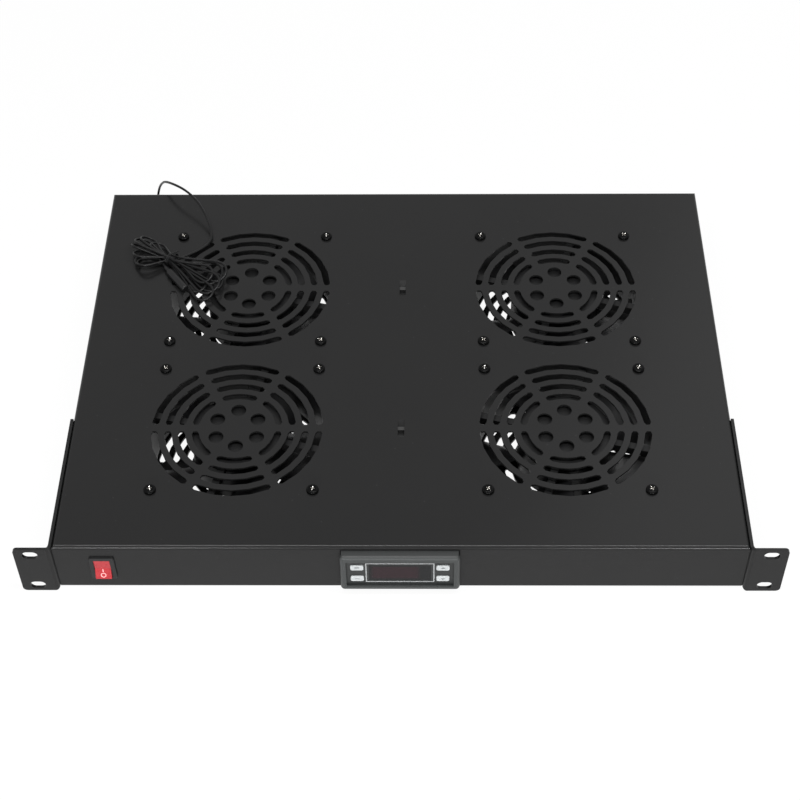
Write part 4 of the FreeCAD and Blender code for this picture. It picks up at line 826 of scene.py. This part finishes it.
class TRAY_OT_thermostat(bpy.types.Operator):
    """Finish the thermostat, print the line round its window and the symbols on its buttons."""

    bl_idname = "tray.thermostat"
    bl_label = "Thermostat"

    def execute(self, context):
        colours = context.scene.tray_finishes
        sizes = context.scene.tray_sizes
        moulded = finish("Bezel moulding", colours.bezel, 0.46, specular=0.42, grain=1300.0, depth=0.16,
                         blotches=30.0, spread=0.08)
        grey = finish("Button moulding", colours.button, 0.38, specular=0.45, grain=1500.0, depth=0.06,
                      blotches=120.0, spread=0.04)
        dress(moulded, "thermostat_body", "thermostat_clips")
        dress(bezel_material(colours.bezel), "thermostat_bezel")
        dress(window_material(colours.window), "thermostat_window")
        dress(grey, *["thermostat_button_%d" % number for number in (1, 2, 3, 4)])
        dress(finish("Unlit display", (0.03, 0.016, 0.016), 0.25, grain=800.0), "thermostat_display")
        dress(finish("Circuit board", (0.015, 0.12, 0.04), 0.35, grain=1200.0, blotches=160.0, spread=0.25),
              "thermostat_board")
        dress(finish("Relay case", (0.02, 0.03, 0.08), 0.30, grain=900.0), "thermostat_relay")
        dress(finish("Terminal strip", (0.02, 0.15, 0.05), 0.42, grain=1100.0), "thermostat_terminals")
        white = finish("Printed line", (0.32, 0.33, 0.335), 0.50, specular=0.3, grain=1600.0, depth=0.05)
        dark = finish("Printed symbol", (0.16, 0.17, 0.18), 0.55, specular=0.3, grain=1600.0, depth=0.05)

        deselect()
        bpy.ops.mesh.primitive_plane_add(size=1.0)
        outline = bpy.context.object
        begin_edit(outline)
        bpy.ops.mesh.select_all(action="SELECT")
        bpy.ops.transform.resize(value=(0.0436, 0.0200, 1.0))
        bpy.ops.mesh.inset(thickness=sizes.print_line)
        select_faces(lambda f: f.calc_area() > 0.0005)
        bpy.ops.mesh.delete(type="FACE")
        end_edit()
        put(upright(outline), Matrix.Translation((0, FACE_Y - MARK_LIFT, 0)))
        thin_mark(outline, 0.00012)
        settle(outline, "window_outline", "tray", white)

        symbols = {1: ("bars", 0.0), 2: ("bar", 0.0), 3: ("arrow", math.pi / 2), 4: ("arrow", -math.pi / 2)}
        places = {1: (-27.2, 5.75), 2: (-27.2, -5.75), 3: (27.2, 5.75), 4: (27.2, -5.75)}
        for number, (kind, turn) in symbols.items():
            symbol = button_symbol(kind, turn)
            x, z = places[number]
            put(symbol, Matrix.Translation((x * MM, FACE_Y - BUTTON_FRONT - MARK_LIFT, z * MM)))
            thin_mark(symbol, 0.0001)
            settle(symbol, "button_symbol_%d" % number, "button_%d" % number, dark)
        return {"FINISHED"}


def button_symbol(kind, turn):
    """A small generic symbol facing the front: an arrow head, one bar or two bars."""
    deselect()
    if kind == "arrow":
        bpy.ops.mesh.primitive_circle_add(vertices=3, radius=0.00115, fill_type="NGON")
        symbol = bpy.context.object
        begin_edit(symbol)
        bpy.ops.mesh.select_all(action="SELECT")
        bpy.ops.transform.resize(value=(1.35, 0.8, 1.0))
        end_edit()
        if turn < 0:
            put(symbol, Matrix.Rotation(math.pi, 4, "Z"))
        return upright(symbol)
    offsets = (-0.0006, 0.0006) if kind == "bars" else (0.0,)
    bars = []
    for offset in offsets:
        bpy.ops.mesh.primitive_plane_add(size=1.0)
        bar = bpy.context.object
        begin_edit(bar)
        bpy.ops.mesh.select_all(action="SELECT")
        bpy.ops.transform.resize(value=(0.0030, 0.0005, 1.0))
        end_edit()
        put(bar, Matrix.Translation((0, offset, 0)))
        bars.append(bar)
    return upright(joined(bars, "bars"))


class TRAY_OT_rear_fittings(bpy.types.Operator):
    """Finish the mains inlet, the terminal block, the wiring and the cable ties."""

    bl_idname = "tray.rear_fittings"
    bl_label = "Inlet and wiring"

    def execute(self, context):
        dress(finish("Inlet moulding", (0.016, 0.016, 0.016), 0.45, grain=1300.0, depth=0.12), "inlet_body")
        dress(finish("Natural nylon", (0.62, 0.60, 0.52), 0.45, grain=900.0, depth=0.08), "terminal_block")
        dress(finish("Wire sleeve", (0.014, 0.014, 0.014), 0.5, grain=1500.0, depth=0.2, blotches=90.0),
              "wiring_loom")
        dress(finish("Black nylon", (0.018, 0.018, 0.018), 0.36, grain=1100.0, depth=0.06), "cable_ties")
        return {"FINISHED"}


class TRAY_OT_studio(bpy.types.Operator):
    """Pale floor, soft lamps, world light and the camera."""

    bl_idname = "tray.studio"
    bl_label = "Studio"

    def execute(self, context):
        studio = context.scene.tray_studio
        low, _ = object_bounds()
        deselect()
        bpy.ops.mesh.primitive_plane_add(size=9.0, location=(0, 0.16, low[2] - 0.0002))
        floor = bpy.context.object
        floor.name = "floor"
        floor.data.materials.append(floor_material())
        floor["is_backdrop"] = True
        light_world()
        add_lamp("key", (0.55, -0.35, 1.7), (0.05, 0.12, 0.0), 1.5, 1.5, studio.key)
        add_lamp("fill", (-1.2, -1.3, 0.9), (0.0, 0.1, 0.0), 1.3, 1.3, studio.key * 0.22)
        add_lamp("overhead", (0.10, -0.10, 1.20), (0.10, 0.0, TOP), 1.5, 0.12, studio.strip)
        add_lamp("rear", (0.80, 1.20, 1.60), (0.20, 0.05, TOP), 1.0, 1.0, studio.rear)
        for name, x, z in (("low_left", -0.40, 0.36), ("low_right", 0.41, 0.24)):
            add_lamp(name, (x, -1.28, z), (x, 0.0, TOP), 0.30, 0.16, studio.low)
        data = bpy.data.cameras.new("camera")
        data.lens = studio.lens
        data.sensor_width = 36.0
        data.clip_end = 50.0
        camera = bpy.data.objects.new("camera", data)
        bpy.context.collection.objects.link(camera)
        turn = Matrix.Rotation(studio.yaw, 4, "Z") @ Matrix.Rotation(math.pi / 2 - studio.pitch, 4, "X")
        camera.matrix_world = Matrix.Translation(studio.place) @ turn @ Matrix.Rotation(studio.roll, 4, "Z")
        context.scene.camera = camera
        context.scene.view_settings.view_transform = "Standard"
        return {"FINISHED"}


def background_share(tree, strength):
    """One for rays that see the background directly or in metal and glass, times a strength."""
    path = tree.nodes.new("ShaderNodeLightPath")
    seen = math_of(tree, "MAXIMUM", path.outputs["Is Camera Ray"], path.outputs["Is Glossy Ray"])
    seen = math_of(tree, "MAXIMUM", seen, path.outputs["Is Transmission Ray"])
    return math_of(tree, "MULTIPLY", seen, strength)


def floor_material():
    """White sweep that keeps a trace of the tray's shadow."""
    material = bpy.data.materials.new("Sweep")
    material.use_nodes = True
    tree = material.node_tree
    add, link = tree.nodes.new, tree.links.new
    paper = tree.nodes["Principled BSDF"]
    paper.inputs["Base Color"].default_value = (0.9, 0.9, 0.9, 1.0)
    paper.inputs["Roughness"].default_value = 0.9
    white = add("ShaderNodeEmission")
    white.inputs["Strength"].default_value = 1.0
    mix = add("ShaderNodeMixShader")
    link(background_share(tree, 0.95), mix.inputs["Fac"])
    link(paper.outputs["BSDF"], mix.inputs[1])
    link(white.outputs["Emission"], mix.inputs[2])
    link(mix.outputs["Shader"], tree.nodes["Material Output"].inputs["Surface"])
    return material


def light_world():
    """White world for what sees it, at a plain level for what it lights."""
    world = bpy.data.worlds.new("Studio")
    bpy.context.scene.world = world
    world.use_nodes = True
    tree = world.node_tree
    add, link = tree.nodes.new, tree.links.new
    soft = tree.nodes["Background"]
    soft.inputs["Color"].default_value = (1.0, 1.0, 1.0, 1.0)
    soft.inputs["Strength"].default_value = 0.30
    white = add("ShaderNodeBackground")
    white.inputs["Strength"].default_value = 1.0
    white.inputs["Color"].default_value = (1.0, 1.0, 1.0, 1.0)
    mix = add("ShaderNodeMixShader")
    link(background_share(tree, 1.0), mix.inputs["Fac"])
    link(soft.outputs["Background"], mix.inputs[1])
    link(white.outputs["Background"], mix.inputs[2])
    link(mix.outputs["Shader"], tree.nodes["World Output"].inputs["Surface"])


def add_lamp(name, place, target, width, height, power):
    """Soft lamp that faces a target."""
    data = bpy.data.lights.new(name, "AREA")
    data.shape = "RECTANGLE"
    data.size = width
    data.size_y = height
    data.energy = power
    lamp = bpy.data.objects.new(name, data)
    bpy.context.collection.objects.link(lamp)
    lamp.location = place
    lamp.rotation_euler = (Vector(target) - Vector(place)).to_track_quat("-Z", "Y").to_euler()


class TRAY_PT_panel(bpy.types.Panel):
    """Lists the tray's steps, sizes and finishes."""

    bl_idname = "TRAY_PT_panel"
    bl_label = "Fan Tray"
    bl_space_type = "VIEW_3D"
    bl_region_type = "UI"
    bl_category = "Fan Tray"

    def draw(self, context):
        column = self.layout.column()
        for step in STEPS:
            column.operator(step.bl_idname)
        for settings in (context.scene.tray_sizes, context.scene.tray_finishes, context.scene.tray_studio):
            for name in settings.bl_rna.properties.keys():
                if name not in ("rna_type", "name"):
                    column.prop(settings, name)


STEPS = (TRAY_OT_sheet_metal, TRAY_OT_fans, TRAY_OT_screws, TRAY_OT_switch, TRAY_OT_thermostat,
         TRAY_OT_rear_fittings, TRAY_OT_lead, TRAY_OT_studio)
CLASSES = (TraySizes, TrayFinishes, TrayStudio) + STEPS + (TRAY_PT_panel,)


def register():
    """Register the classes and hang the settings on the scene."""
    for kind in CLASSES:
        bpy.utils.register_class(kind)
    bpy.types.Scene.tray_sizes = PointerProperty(type=TraySizes)
    bpy.types.Scene.tray_finishes = PointerProperty(type=TrayFinishes)
    bpy.types.Scene.tray_studio = PointerProperty(type=TrayStudio)


def unregister():
    """Take the settings and classes away again."""
    del bpy.types.Scene.tray_studio
    del bpy.types.Scene.tray_finishes
    del bpy.types.Scene.tray_sizes
    for kind in reversed(CLASSES):
        bpy.utils.unregister_class(kind)


def main():
    """Register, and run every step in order."""
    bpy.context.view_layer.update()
    register()
    for step in STEPS:
        group, name = step.bl_idname.split(".")
        getattr(getattr(bpy.ops, group), name)()


if __name__ == "__main__":
    main()
